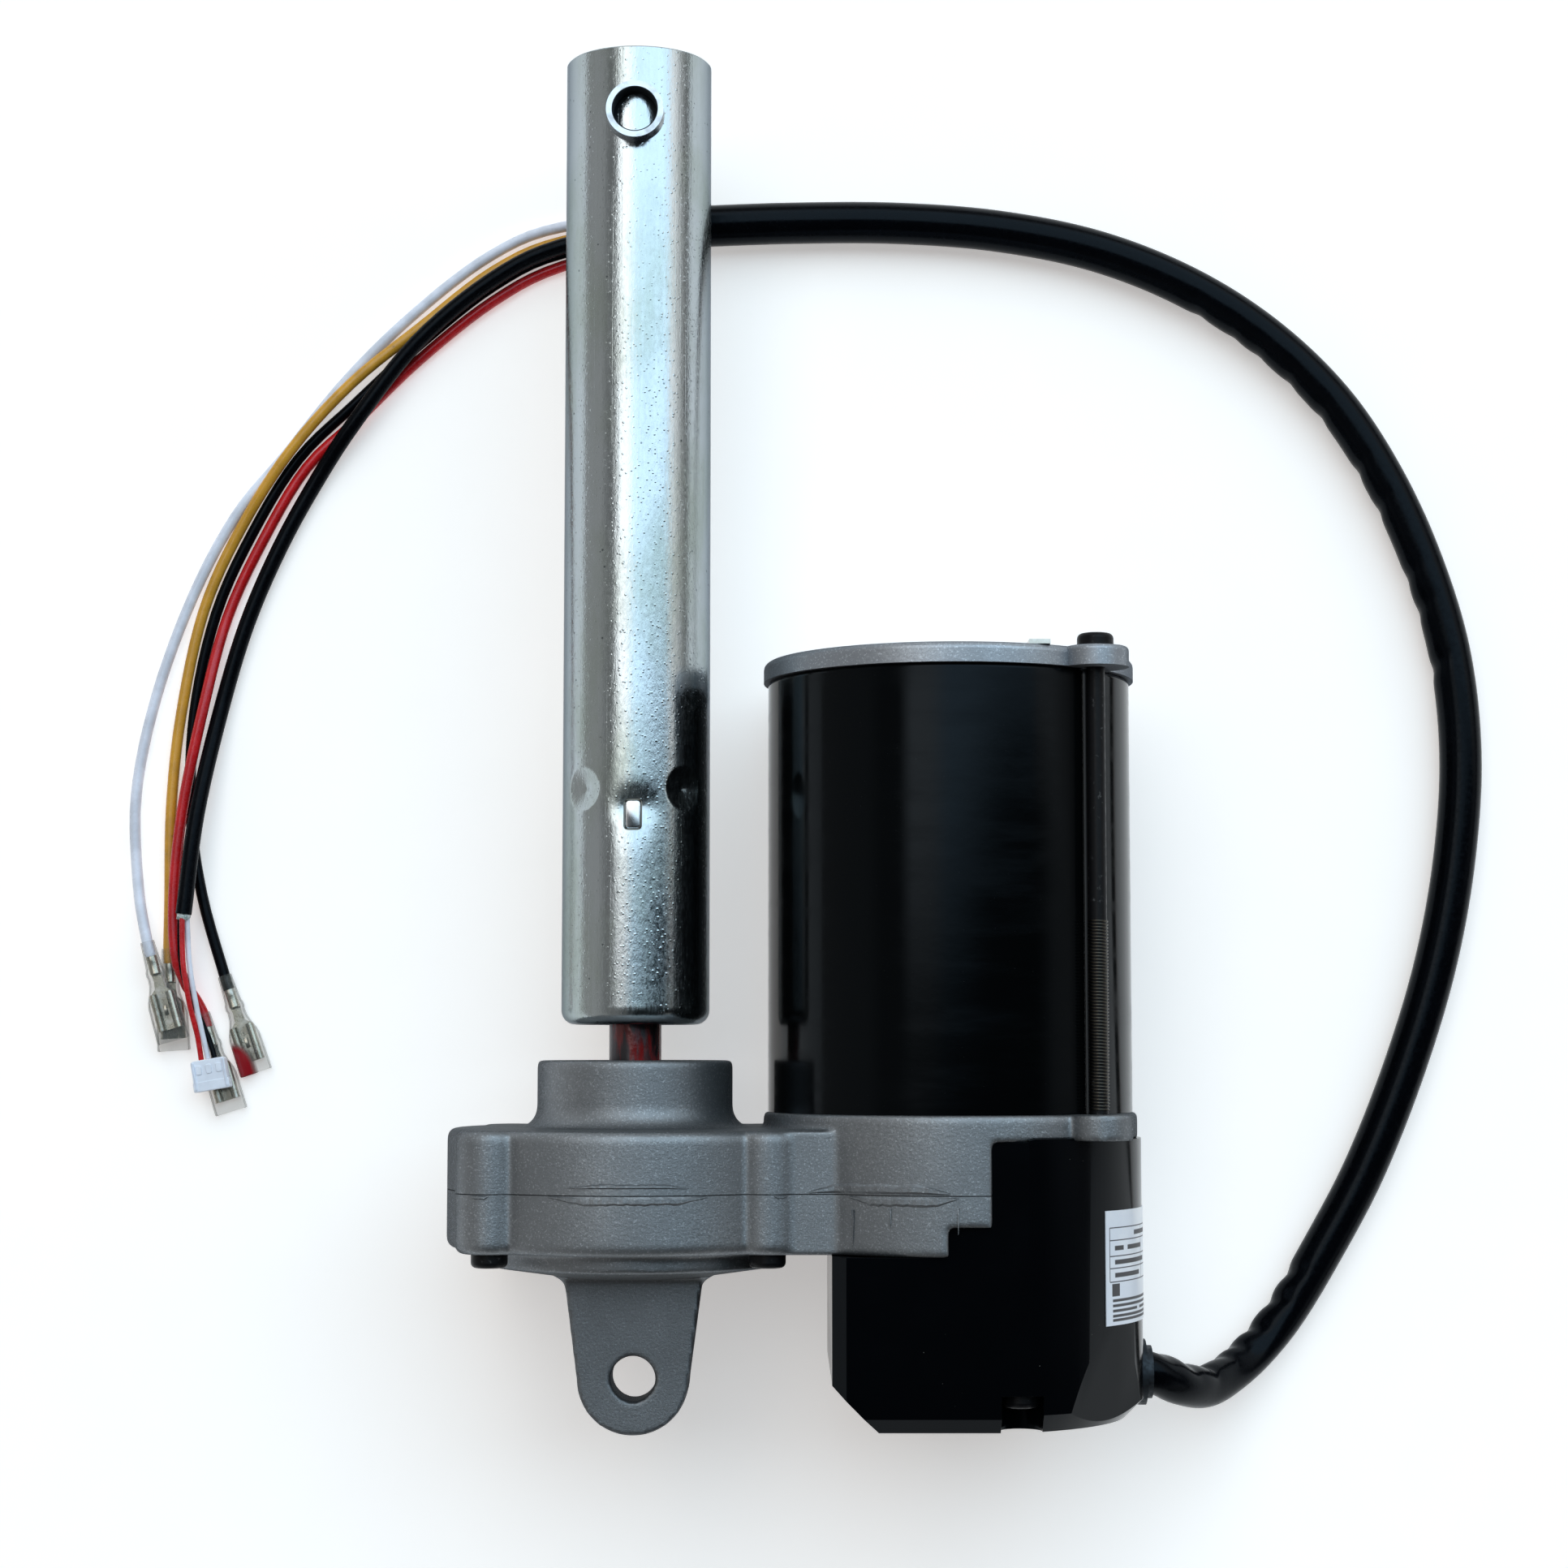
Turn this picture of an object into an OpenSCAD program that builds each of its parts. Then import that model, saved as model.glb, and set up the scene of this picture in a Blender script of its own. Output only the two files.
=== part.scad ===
// Lift actuator: a parallel gear motor drives a lead screw, and a nut inside a plated tube
// turns that rotation into thrust between two 10 mm pin eyes.
// The actuator lies on its side: +Y runs along the spindle toward the tube's front eye, +X points
// from the spindle to the motor, and +Z is the direction of both pins. The origin is the centre
// of the rear eye. The lead is drawn as a plain rod at its outer diameter.

/* [Stroke and pins] */
// Distance between the two pin axes with the tube fully retracted
pin_to_pin = 284; // [280:1:290]
// Travel of the tube from retracted to extended
stroke = 110; // [60:5:110]
// Diameter of both pin bores
pin_d = 10; // [8:0.5:10]

/* [Tube] */
// Outer diameter of the plated steel tube
tube_d = 33.5; // [33:0.5:34]
// Wall thickness of the tube
tube_wall = 1.5; // [1.2:0.1:1.6]
// Height of the tube's lower end above the rear pin
tube_start = 78.5; // [76:0.5:80]
// Length of tube beyond the front pin
tube_tail = 16; // [12:1:20]
// Overall length of the bushing in the front eye
bushing_len = 42; // [38:1:46]
// Diameter of the lead screw
screw_d = 12; // [12:0.5:12.5]

/* [Gear housing] */
// Distance from the spindle axis to the motor axis
motor_offset = 71; // [71:1:71]
// Radius of both rounded ends of the housing
housing_r = 42; // [42:0.5:42.5]
// Height of the joint between the two housing halves
split_y = 42; // [41.5:0.5:42.5]
// Height of the housing's top face around the spindle
roof_y = 55.5; // [55:0.5:56]
// Height of the flange that carries the motor
flange_y = 59; // [58.5:0.5:59.5]
// Height of the spindle boss
boss_y = 70.5; // [70:0.5:71]
// Thickness of the rear mounting lug along its pin
lug_t = 12; // [10:1:14]

/* [Motor] */
// Outer diameter of the motor can
can_d = 82; // [80:1:83]
// Height of the top of the can
can_top = 156; // [150:1:160]
// Thickness of the cast end cap
cap_t = 4.5; // [4:0.5:6]

/* [Sensor cover] */
// Radius of the rounded side of the plastic cover
cover_r = 42.8; // [42.8:0.1:43]
// Half the depth of the cover between its two flat sides
cover_flat = 40.2; // [40.2:0.1:40.4]
// Wall thickness of the cover
cover_wall = 2.4; // [2:0.1:2.4]
// Height of the cover's bottom face; negative is below the rear pin
cover_bottom = -8; // [-9:0.5:-8]

/* [Cables] */
// Outer diameter of the black cable sleeve
sleeve_d = 10; // [9:0.5:10]
// Outer diameter of each power wire
wire_d = 2.7; // [2.4:0.1:2.7]
// Outer diameter of the sensor cable's jacket
sensor_d = 3.9; // [3.6:0.1:3.9]
// Outer diameter of each lead inside the sensor cable
lead_d = 1.3; // [1:0.1:1.3]

/* [Hidden] */

$fn = 64;
slack = 0.1;
over = 1;

// Colours
cast_grey = [0.62, 0.63, 0.65];
zinc = [0.70, 0.74, 0.80];
steel = [0.55, 0.56, 0.58];
gloss_black = [0.06, 0.06, 0.07];
copper = [0.72, 0.42, 0.24];
nylon_white = [0.93, 0.93, 0.90];
board_green = [0.10, 0.38, 0.20];
bronze = [0.66, 0.50, 0.28];
clear_vinyl = [0.82, 0.84, 0.84, 0.5];
tinned = [0.74, 0.73, 0.70];

// Housing
round_edge = 2;
web_x = [30, 50];
web_z = 33;
boss_r = 22;
boss_fillet = 4.5;
corner_boss_r = 7.5;
corner_boss_at = [30, 27.5];
ear_r = 7.3;
ear_reach = 30.6;
ears = [[motor_offset + ear_reach, ear_reach], [motor_offset - ear_reach, -ear_reach]];
floor_y = 29;
plate_y = 25;
plate_r = 33;
cone_y = 22.5;
cone_r = 16.5;
lug_width = 30;
lug_end_r = 12.5;
lug_root_y = 20;
cavity_floor = 33;
cavity_roof = 53;
spindle_cavity_r = 33.6;
idler_cavity_r = 24.2;
second_cavity_r = 14;
pinion_cavity_r = 9;
housing_screw_top = 50;
cover_screw_top = 37;
motor_ring = [13, 30];
ring_floor = 32;
cover_seat_r = 40.2;
cover_seat_flat = 37.6;
cover_left = 43.8;
cover_steps = [[77.7, 53.3], [68.4, 35.3], [43.8, 29]];
cover_rim = 4;
flat_rim = 3.2;
corner_cut = 14;
corner_half = 37;
corner_run = 3;
m4_r = 2;
m4_tap_r = 2.05;
m4_clear_r = 2.2;
m4_head_r = 4;
m4_head_h = 3;
m4_head_round = 1.2;
recess_size = [4.6, 3, 0.9];
ear_tap_y = 52;

// Gear train: motor pinion 10, idler gear 44, idler pinion 25 and spindle gear 63, all module 1
module_mm = 1;
motor_teeth = 10;
idler_teeth = 44;
second_teeth = 25;
spindle_teeth = 63;
idler_x = (second_teeth + spindle_teeth) * module_mm / 2;
tooth_rows = [[-1.25, 0.6], [0, 0.42], [0.9, 0.2]];
spindle_gear_y = [34, 44];
second_y = [33.3, 45.3];
idler_gear_y = [46, 51.5];
pinion_y = [45.5, 52.5];
idler_pin_r = 4;
idler_pin_y = [30.5, 54.5];
idler_hub_r = 7;
idler_hub_top = 52.5;
idler_collar_r = 9;
spindle_hub_r = 10;
spindle_hub_y = [33.3, 47];
lock_nut_y = [47, 53];
lock_nut_r = 10.9;
screw_r = screw_d / 2;
screw_foot_r = 5;
nut_y = [104, 140];
screw_top = nut_y[1] + stroke + 13;
bearing_low = [25, 33];
bearing_low_r = 13;
bearing_up = [56.5, 64.5];
bearing_up_r = 14;
seal_y = [66, 70];
seal_r = 11;

// Tube and nut
tube_r = tube_d / 2;
tube_in = tube_r - tube_wall;
tube_end = pin_to_pin + tube_tail;
lip_r = 13;
lip_t = 2.5;
bushing_r = 6.5;
rivet_y = 131;
rivet_r = 5;
rivet_angle = 43;
key_y = 125;
key_size = [3.6, 6.4, 2.8];
key_sunk = 0.5;

// Motor
can_r = can_d / 2;
can_wall = 1.5;
cap_r = 42;
core_y = [72, 138];
core_in = 24.4;
rotor_r = 24;
winding_len = 8;
winding_r = [27, 37];
spigot_r = 15;
spigot_len = 8;
shaft_r = 4;
shaft_foot_r = 3;
shaft_foot = 18;
ball_r = 11;
ball_h = 6;
small_ball_r = 8;
small_ball_y = [36, 41];
ball_low_y = flange_y - ball_h;
bolt_foot = 53.6;
tab_at = [89, 33];
tab_size = [4.6, 1, 8];

// Sensor inside the cover
wheel_r = 12;
wheel_y = [20, 24];
board_y = [14, 15.6];
board_half = [19, 17];
chip_size = [4, 2, 3];
board_screw_r = 1.2;
board_screw_top = 23;
board_screw_head = 1.8;
post_r = 2.6;
cover_post_r = 6;
post_at = [[motor_offset - 15, -14], [motor_offset + 15, 14]];
cover_screw_at = [[84, 33.5], [58, -33.5]];
cover_screw_y = 0;
facet_turn = 37;
facet_tilt = 8;
facet_reach = 40.9;
facet_half = 40;
port_z = -10;
port_r = 7.4;
port_x = 114;
port_foot_x = 106;
port_bore_r = 6;
gland_x = 117;
gland_foot_x = 107;
gland_r = 5.95;
gland_flange = 1.6;
label_y = [13.6, 38.2];
label_turn = [-40, 42];
label_t = 0.2;

// Cord routes; the actuator and its cords lie on a surface at housing_r below the pins' plane
sleeve_route = [
    [107, 0, -10], [117, 0, -10], [124, -3, -14.5], [131, -4.5, -22.5], [138, -2, -30],
    [145, 3, -35], [152, 11, -37], [160, 24, -37], [171, 44, -37], [181, 68, -37],
    [189, 93, -37], [194, 118, -37], [196, 143, -37], [194, 167, -37],
    [188, 189, -37], [179, 210, -37], [167, 229, -37], [151, 245, -37],
    [132, 257.5, -37], [110, 266.5, -37], [86, 271.5, -37], [61, 273.5, -37],
    [35, 273.5, -37], [8, 272.5, -37]
];
white_route = [
    [8, 275.4, -37.6], [-21, 273.5, -40.6], [-38, 266.5, -40.6], [-56, 252.5, -40.6],
    [-72.5, 236, -40.6], [-88, 216.5, -40.6], [-99.5, 202, -40.6], [-109.5, 182.5, -40.6],
    [-118, 158, -40.6], [-122.5, 134, -40.6], [-121.5, 112, -40.1], [-118.5, 98.5, -37],
    [-117.6, 95.2, -37]
];
yellow_route = [
    [8, 273.6, -39.8], [-20.5, 270, -40.6], [-37.5, 262.5, -40.6], [-55.5, 248, -39.8],
    [-71.5, 234, -37.6], [-86, 217.5, -37.6], [-98, 199, -39.8], [-107, 178.5, -40.6],
    [-112, 153.5, -40.6], [-114, 131, -40.6], [-114, 108.5, -40.6], [-114, 97, -40.4],
    [-113.8, 93.5, -40.4]
];
black_route = [
    [8, 270.6, -39.4], [-20.5, 267, -40.6], [-37.5, 258.8, -40.6], [-55.5, 244.2, -40.6],
    [-71, 229.5, -40.6], [-84.5, 216, -40.6], [-95.4, 197.8, -40.6], [-104, 177.8, -40.6],
    [-108.8, 153.8, -40.6], [-109.3, 130, -40.6], [-106.3, 110, -40.6], [-100.5, 90.5, -40.4],
    [-99.4, 87.2, -40.4]
];
red_route = [
    [8, 269.4, -36.8], [-20.5, 263.8, -40.6], [-37.5, 255, -40.6], [-55.5, 240.4, -40.6],
    [-70.5, 225.5, -40.6], [-82.5, 213.8, -40.6], [-92.6, 196.4, -40.6], [-101.2, 177, -40.6],
    [-106.2, 154.5, -37.8], [-110.8, 130, -37.8], [-112.5, 108.5, -37.8],
    [-111.3, 93, -37.8], [-107, 84.5, -39.8], [-105.5, 81.5, -40.4], [-104.5, 78.2, -40.4]
];
sensor_route = [
    [8, 272.7, -34.7], [-20.5, 267.7, -36.8], [-37.5, 259.3, -36.8], [-55.5, 244, -36.8],
    [-70, 225, -37], [-79.6, 211, -39.8], [-88.5, 194.4, -40], [-96.4, 175.3, -40],
    [-102.4, 153.5, -39.4], [-107, 129, -36], [-109.5, 105, -34.8]
];
red_lead_route = [
    [-109.7, 104.8, -34.1], [-109.5, 96.5, -34.2], [-109, 91, -34.2],
    [-107.6, 83, -35], [-106, 76.5, -36], [-105, 70.4, -36.4]
];
white_lead_route = [
    [-108.8, 104.9, -35.4], [-108.2, 94.5, -35.6], [-107.2, 88, -35.6],
    [-105.8, 81, -35.8], [-104.4, 75, -36.2], [-103.4, 70.7, -36.4]
];
black_lead_route = [
    [-110.4, 104.7, -35.5], [-110.3, 95.5, -35.8], [-109, 88, -36.6],
    [-106, 81, -37.6], [-103.4, 75.5, -37.2], [-101.8, 71, -36.4]
];
// Each terminal: where its insulating boot starts, and its heading in plan
white_plug = [[-118.5, 98.5, -37], -74];
yellow_plug = [[-114, 97, -40.4], -86];
black_plug = [[-100.5, 90.5, -40.4], -71];
red_plug = [[-105.5, 81.5, -40.4], -73];
boot_rows = [[0, 3.4, 3.2], [8, 4.6, 3.2], [13, 7.6, 3.2], [24.5, 7.8, 3.2]];
boot_wall = 0.25;
connector_size = [8.6, 7.4, 4.4];
connector_at = [-103.3, 70.6, -36.4];
connector_heading = -80;
connector_slots = [5, 2.4, 1.2];
barrel = [3.6, 8, 1.3];
receptacle = [9, 6, 2.2];
receptacle_x = 12.6;
boot_mouth = [7, 2.2];
boot_sides = 24;

// Extrudes a plan drawn in (x, z) from height y0 to height y1.
module slab(y0, y1)
    translate([0, y1, 0])
    rotate([90, 0, 0])
    linear_extrude(y1 - y0)
    children();

// A round rod along Y, centred on (x, z).
module rod(x, z, r, y0, y1)
    translate([x, y1, z])
    rotate([90, 0, 0])
    cylinder(h = y1 - y0, r = r);

// A hollow rod along Y.
module sleeve_ring(x, z, r_out, r_in, y0, y1)
    difference() {
        rod(x, z, r_out, y0, y1);
        rod(x, z, r_in, y0 - over, y1 + over);
    }

// A solid of revolution about a line along Y; each profile point is (radius, height).
module turned(x, z, profile)
    translate([x, 0, z])
    rotate([-90, 0, 0])
    rotate_extrude()
    polygon(profile);

// Quarter arc from angle a0 to a1 about a centre, for rounded profiles.
function arc(centre, r, a0, a1, steps = 4) = [
    for (i = [0:steps])
        let (a = a0 + (a1 - a0) * i / steps)
        centre + r * [cos(a), sin(a)]
];

// A drum with one rounded rim, at its top or at its bottom.
module drum_round_top(x, z, r, y0, y1, e)
    turned(x, z, concat([[0, y0], [r, y0]], arc([r - e, y1 - e], e, 0, 90), [[0, y1]]));
module drum_round_bottom(x, z, r, y0, y1, e)
    turned(x, z, concat([[0, y0]], arc([r - e, y0 + e], e, -90, 0), [[r, y1], [0, y1]]));

// A cross-recessed pan head screw that points up from a head at height y.
module screw_up(x, z, y, tip)
    difference() {
        union() {
            drum_round_bottom(x, z, m4_head_r, y, y + m4_head_h, m4_head_round);
            rod(x, z, m4_r, y + m4_head_h - 0.5, tip);
        }
        translate([x, y, z]) cross_recess();
    }
module cross_recess()
    for (turn = [45, 135])
        rotate([0, turn, 0])
        cube(recess_size, center = true);

// Gear outline: every tooth runs root, pitch, tip, tip, pitch, root.
function tooth_side(teeth, k, row, side) =
    let (r = (teeth / 2 + row[0]) * module_mm, a = (k + side * row[1] / 2) * 360 / teeth)
    r * [cos(a), sin(a)];
function gear_outline(teeth, phase) = [
    for (k = [0:teeth - 1])
        each concat(
            [for (row = tooth_rows) tooth_side(teeth, k + phase, row, -1)],
            [for (i = [2:-1:0]) tooth_side(teeth, k + phase, tooth_rows[i], 1)]
        )
];
module gear(x, teeth, phase, y0, y1)
    translate([x, 0, 0])
    slab(y0, y1)
    polygon(gear_outline(teeth, phase));

// Runs its child at each of the four screw corners, which both housing halves share.
module at_corners()
    for (sx = [-1, 1])
        for (sz = [-1, 1])
            translate([sx * corner_boss_at[0], 0, sz * corner_boss_at[1]])
            children();
module web(y0, y1)
    translate([web_x[0], y0, -web_z])
    cube([web_x[1] - web_x[0], y1 - y0, 2 * web_z]);
module motor_side_pocket(y0, y1)
    slab(y0, y1)
    difference() {
        translate([motor_offset, 0]) circle(motor_ring[1]);
        translate([motor_offset, 0]) circle(motor_ring[0]);
        translate([-over, -motor_ring[1]]) square([64, 2 * motor_ring[1]]);
    }
// Takes the outer skin off the motor side, where the plastic cover wraps round it.
module cover_rebate(x, y0, y1)
    difference() {
        translate([x, y0, -housing_r - over]) cube([60, y1 - y0, 2 * housing_r + 2 * over]);
        intersection() {
            rod(motor_offset, 0, cover_seat_r, y0 - over, y1 + over);
            translate([0, y0 - over, -cover_seat_flat])
            cube([3 * motor_offset, y1 - y0 + 2 * over, 2 * cover_seat_flat]);
        }
    }

module upper_housing() {
    color(cast_grey)
    difference() {
        union() {
            drum_round_top(0, 0, housing_r, split_y, roof_y, round_edge);
            drum_round_top(motor_offset, 0, housing_r, split_y, flange_y, 1);
            web(split_y, roof_y);
            at_corners() drum_round_top(0, 0, corner_boss_r, split_y, roof_y, round_edge);
            for (ear = ears) rod(ear[0], ear[1], ear_r, cover_steps[0][1] + slack, flange_y);
            turned(0, 0, concat(
                [[0, roof_y - 1], [boss_r + boss_fillet, roof_y - 1]],
                [[boss_r + boss_fillet, roof_y]],
                arc([boss_r + boss_fillet, roof_y + boss_fillet], boss_fillet, 270, 180),
                arc([boss_r - 1, boss_y - 1], 1, 0, 90),
                [[0, boss_y]]
            ));
        }
        rod(0, 0, spindle_cavity_r, split_y - over, cavity_roof);
        rod(idler_x, 0, idler_cavity_r, split_y - over, cavity_roof);
        rod(motor_offset, 0, pinion_cavity_r, split_y - over, cavity_roof);
        motor_side_pocket(split_y - over, cavity_roof);
        rod(0, 0, bearing_up_r, cavity_roof - over, bearing_up[1]);
        rod(0, 0, screw_r + 1, cavity_roof, boss_y + over);
        rod(0, 0, seal_r, seal_y[0], boss_y + over);
        rod(motor_offset, 0, ball_r, ball_low_y, flange_y + over);
        rod(idler_x, 0, idler_pin_r, cavity_roof - over, idler_pin_y[1]);
        at_corners() rod(0, 0, m4_tap_r, split_y - over, housing_screw_top + 1);
        for (ear = ears) rod(ear[0], ear[1], m4_tap_r, ear_tap_y, flange_y + over);
        cover_rebate(cover_steps[0][0], split_y - over, cover_steps[0][1]);
    }
}

module lower_housing() {
    color(cast_grey)
    difference() {
        union() {
            drum_round_bottom(0, 0, housing_r, floor_y, split_y, round_edge);
            drum_round_bottom(motor_offset, 0, housing_r, floor_y, split_y, 1);
            web(floor_y, split_y);
            at_corners() drum_round_bottom(0, 0, corner_boss_r, floor_y, split_y, round_edge);
            turned(0, 0, [
                [0, cone_y], [cone_r, cone_y], [plate_r, plate_y], [plate_r, floor_y + over],
                [0, floor_y + over]
            ]);
            rear_lug();
            for (post = post_at) rod(post[0], post[1], post_r, board_y[1], floor_y + over);
        }
        rod(0, 0, spindle_cavity_r, cavity_floor, split_y + over);
        rod(idler_x, 0, second_cavity_r, cavity_floor, split_y + over);
        rod(idler_x, 0, idler_pin_r, idler_pin_y[0], cavity_floor + over);
        rod(0, 0, bearing_low_r, bearing_low[0], cavity_floor + over);
        motor_side_pocket(ring_floor, split_y + over);
        rod(motor_offset, 0, shaft_r + 1, floor_y - over, split_y + over);
        rod(motor_offset, 0, small_ball_r, small_ball_y[0], split_y + over);
        at_corners() rod(0, 0, m4_clear_r, floor_y - over, split_y + over);
        for (post = post_at)
            rod(post[0], post[1], board_screw_r + 0.05, board_y[1] - over, board_screw_top + 1);
        for (at = cover_screw_at) rod(at[0], at[1], m4_tap_r, floor_y - over, cover_screw_top + 1);
        cover_rebate(cover_steps[0][0], floor_y - over, split_y + over);
        cover_rebate(cover_steps[1][0], floor_y - over, cover_steps[1][1]);
        cylinder(h = lug_t + 2 * over, r = pin_d / 2, center = true);
    }
}

// The lug tapers from the housing to a round end about the rear pin.
module rear_lug() {
    root = lug_width / 2;
    flare = 4;
    linear_extrude(lug_t, center = true) {
        circle(lug_end_r);
        polygon(concat(
            [[-lug_end_r, 0], [lug_end_r, 0]],
            arc([root + flare, lug_root_y - 1], flare, 180, 140),
            [[root + flare, cone_y + over], [-root - flare, cone_y + over]],
            arc([-root - flare, lug_root_y - 1], flare, 40, 0)
        ));
    }
}

module housing_screws() {
    color(gloss_black)
    at_corners() screw_up(0, 0, floor_y - m4_head_h, housing_screw_top);
}

module motor_can() {
    color(gloss_black)
    difference() {
        drum_round_top(motor_offset, 0, can_r, flange_y, can_top, 1);
        rod(motor_offset, 0, can_r - can_wall, flange_y - over, can_top - can_wall);
        rod(motor_offset, 0, spigot_r + 1, can_top - 2 * can_wall, can_top + over);
        for (ear = ears)
            rod(ear[0], ear[1], m4_r + 1, flange_y - over, can_top + over);
    }
}

module motor_end_cap() {
    color(cast_grey)
    difference() {
        union() {
            drum_round_top(motor_offset, 0, cap_r, can_top, can_top + cap_t, 1.5);
            for (ear = ears) drum_round_top(ear[0], ear[1], ear_r, can_top, can_top + cap_t, 1);
            rod(motor_offset, 0, spigot_r, can_top - spigot_len, can_top + over);
        }
        rod(motor_offset, 0, ball_r, can_top - spigot_len - over, can_top - 1);
        for (ear = ears) rod(ear[0], ear[1], m4_clear_r, can_top - over, can_top + cap_t + over);
    }
}

module through_bolts() {
    color(gloss_black)
    for (ear = ears)
        difference() {
            union() {
                rod(ear[0], ear[1], m4_r, bolt_foot, can_top + cap_t + 0.5);
                drum_round_top(ear[0], ear[1], m4_head_r, can_top + cap_t,
                    can_top + cap_t + m4_head_h, m4_head_round);
            }
            translate([ear[0], can_top + cap_t + m4_head_h, ear[1]]) cross_recess();
        }
}

module earth_tab() {
    color(tinned)
    translate([tab_at[0] - tab_size[0] / 2, can_top + cap_t, tab_at[1] - tab_size[2] / 2])
    cube(tab_size);
}

module stator_core() {
    color(steel)
    sleeve_ring(motor_offset, 0, can_r - can_wall, core_in, core_y[0], core_y[1]);
}

module stator_windings() {
    color(copper)
    for (y = [core_y[0] - winding_len, core_y[1]])
        sleeve_ring(motor_offset, 0, winding_r[1], winding_r[0], y, y + winding_len);
}

module motor_bearings() {
    color(steel) {
        sleeve_ring(motor_offset, 0, ball_r, shaft_r, ball_low_y, flange_y);
        sleeve_ring(motor_offset, 0, ball_r, shaft_r, can_top - 1 - ball_h, can_top - 1);
        sleeve_ring(motor_offset, 0, small_ball_r, shaft_foot_r, small_ball_y[0], small_ball_y[1]);
    }
}

module rotor_core() {
    color(steel)
    sleeve_ring(motor_offset, 0, rotor_r, shaft_r, core_y[0], core_y[1]);
}

module motor_shaft() {
    color(steel) {
        rod(motor_offset, 0, shaft_r - slack / 2, pinion_y[1], can_top - 1.5);
        rod(motor_offset, 0, shaft_foot_r - slack / 2, shaft_foot, pinion_y[0]);
        gear(motor_offset, motor_teeth, 0, pinion_y[0], pinion_y[1]);
    }
}

module magnet_wheel() {
    color(gloss_black)
    sleeve_ring(motor_offset, 0, wheel_r, shaft_foot_r, wheel_y[0], wheel_y[1]);
}

module sensor_board() {
    color(board_green)
    difference() {
        translate([motor_offset - board_half[0], board_y[0], -board_half[1]])
        cube([2 * board_half[0], board_y[1] - board_y[0], 2 * board_half[1]]);
        for (post = post_at)
            rod(post[0], post[1], board_screw_r + 0.4, board_y[0] - over, board_y[1] + over);
    }
    color(gloss_black)
    translate([motor_offset, board_y[1] + chip_size[1] / 2, wheel_r - chip_size[2]])
    cube(chip_size, center = true);
}

module board_screws() {
    color(steel)
    for (post = post_at) {
        rod(post[0], post[1], post_r, board_y[0] - board_screw_head, board_y[0]);
        rod(post[0], post[1], board_screw_r, board_y[0] - board_screw_head, board_screw_top);
    }
}

module idler_shaft() {
    color(steel) rod(idler_x, 0, idler_pin_r, idler_pin_y[0], idler_pin_y[1]);
}

module idler_gear() {
    color(nylon_white)
    difference() {
        gear(idler_x, idler_teeth, 0.5, idler_gear_y[0], idler_gear_y[1]);
        rod(idler_x, 0, idler_hub_r, idler_gear_y[0] - over, idler_gear_y[1] + over);
    }
}

module idler_pinion() {
    color(steel)
    difference() {
        union() {
            gear(idler_x, second_teeth, 0, second_y[0], second_y[1]);
            rod(idler_x, 0, idler_collar_r, second_y[1] - 0.5, idler_gear_y[0]);
            rod(idler_x, 0, idler_hub_r, idler_gear_y[0] - 0.5, idler_hub_top);
        }
        rod(idler_x, 0, idler_pin_r + slack / 2, second_y[0] - over, idler_hub_top + over);
    }
}

module spindle_gear() {
    color(bronze)
    difference() {
        union() {
            gear(0, spindle_teeth, 0, spindle_gear_y[0], spindle_gear_y[1]);
            rod(0, 0, spindle_hub_r, spindle_hub_y[0], spindle_hub_y[1]);
        }
        rod(0, 0, screw_r, spindle_hub_y[0] - over, spindle_hub_y[1] + over);
    }
}

module gear_lock_nut() {
    color(steel)
    difference() {
        translate([0, lock_nut_y[1], 0])
        rotate([90, 0, 0])
        cylinder(h = lock_nut_y[1] - lock_nut_y[0], r = lock_nut_r, $fn = 6);
        rod(0, 0, screw_r, lock_nut_y[0] - over, lock_nut_y[1] + over);
    }
}

module lead_screw() {
    color(steel) {
        rod(0, 0, screw_foot_r - slack / 2, bearing_low[0] + 0.3, bearing_low[1] + 0.3);
        rod(0, 0, screw_r, bearing_low[1] + 0.3, bearing_up[0] - 1);
        rod(0, 0, screw_r - slack / 2, bearing_up[0] - 1, screw_top);
    }
}

module thrust_bearing() {
    color(steel)
    sleeve_ring(0, 0, bearing_low_r, screw_foot_r, bearing_low[0], bearing_low[1]);
}

module spindle_bearing() {
    color(steel)
    sleeve_ring(0, 0, bearing_up_r, screw_r, bearing_up[0], bearing_up[1]);
}

module spindle_seal() {
    color(gloss_black)
    sleeve_ring(0, 0, seal_r, screw_r, seal_y[0], seal_y[1]);
}

module outer_tube() {
    color(zinc)
    difference() {
        union() {
            rod(0, 0, tube_r, tube_start + lip_t, tube_end);
            turned(0, 0, concat(
                [[0, tube_start]],
                arc([tube_r - lip_t, tube_start + lip_t], lip_t, -90, 0, 6),
                [[0, tube_start + lip_t]]
            ));
        }
        rod(0, 0, tube_in, tube_start + 2, tube_end + over);
        rod(0, 0, lip_r, tube_start - over, tube_start + 3);
        translate([0, pin_to_pin, 0])
        cylinder(h = tube_d + 2 * over, r = bushing_r, center = true);
        rivet_places(rivet_r, tube_in - over, tube_r + over);
        translate([0, key_y, tube_in + tube_wall / 2])
        cube([key_size[0], key_size[1], 4 * tube_wall], center = true);
    }
}

// A pair of round places either side of the tube's crown.
module rivet_places(r, from, to)
    for (side = [-1, 1])
        translate([0, rivet_y, 0])
        rotate([0, side * rivet_angle, 0])
        translate([0, 0, from])
        cylinder(h = to - from, r = r);

module drive_nut() {
    color(nylon_white)
    difference() {
        rod(0, 0, tube_in, nut_y[0], nut_y[1]);
        rod(0, 0, screw_r + slack, nut_y[0] - over, nut_y[1] + over);
        rivet_places(rivet_r, tube_in - 2, tube_r);
        translate([0, key_y, tube_in])
        cube([key_size[0], key_size[1], 4], center = true);
    }
}

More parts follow.
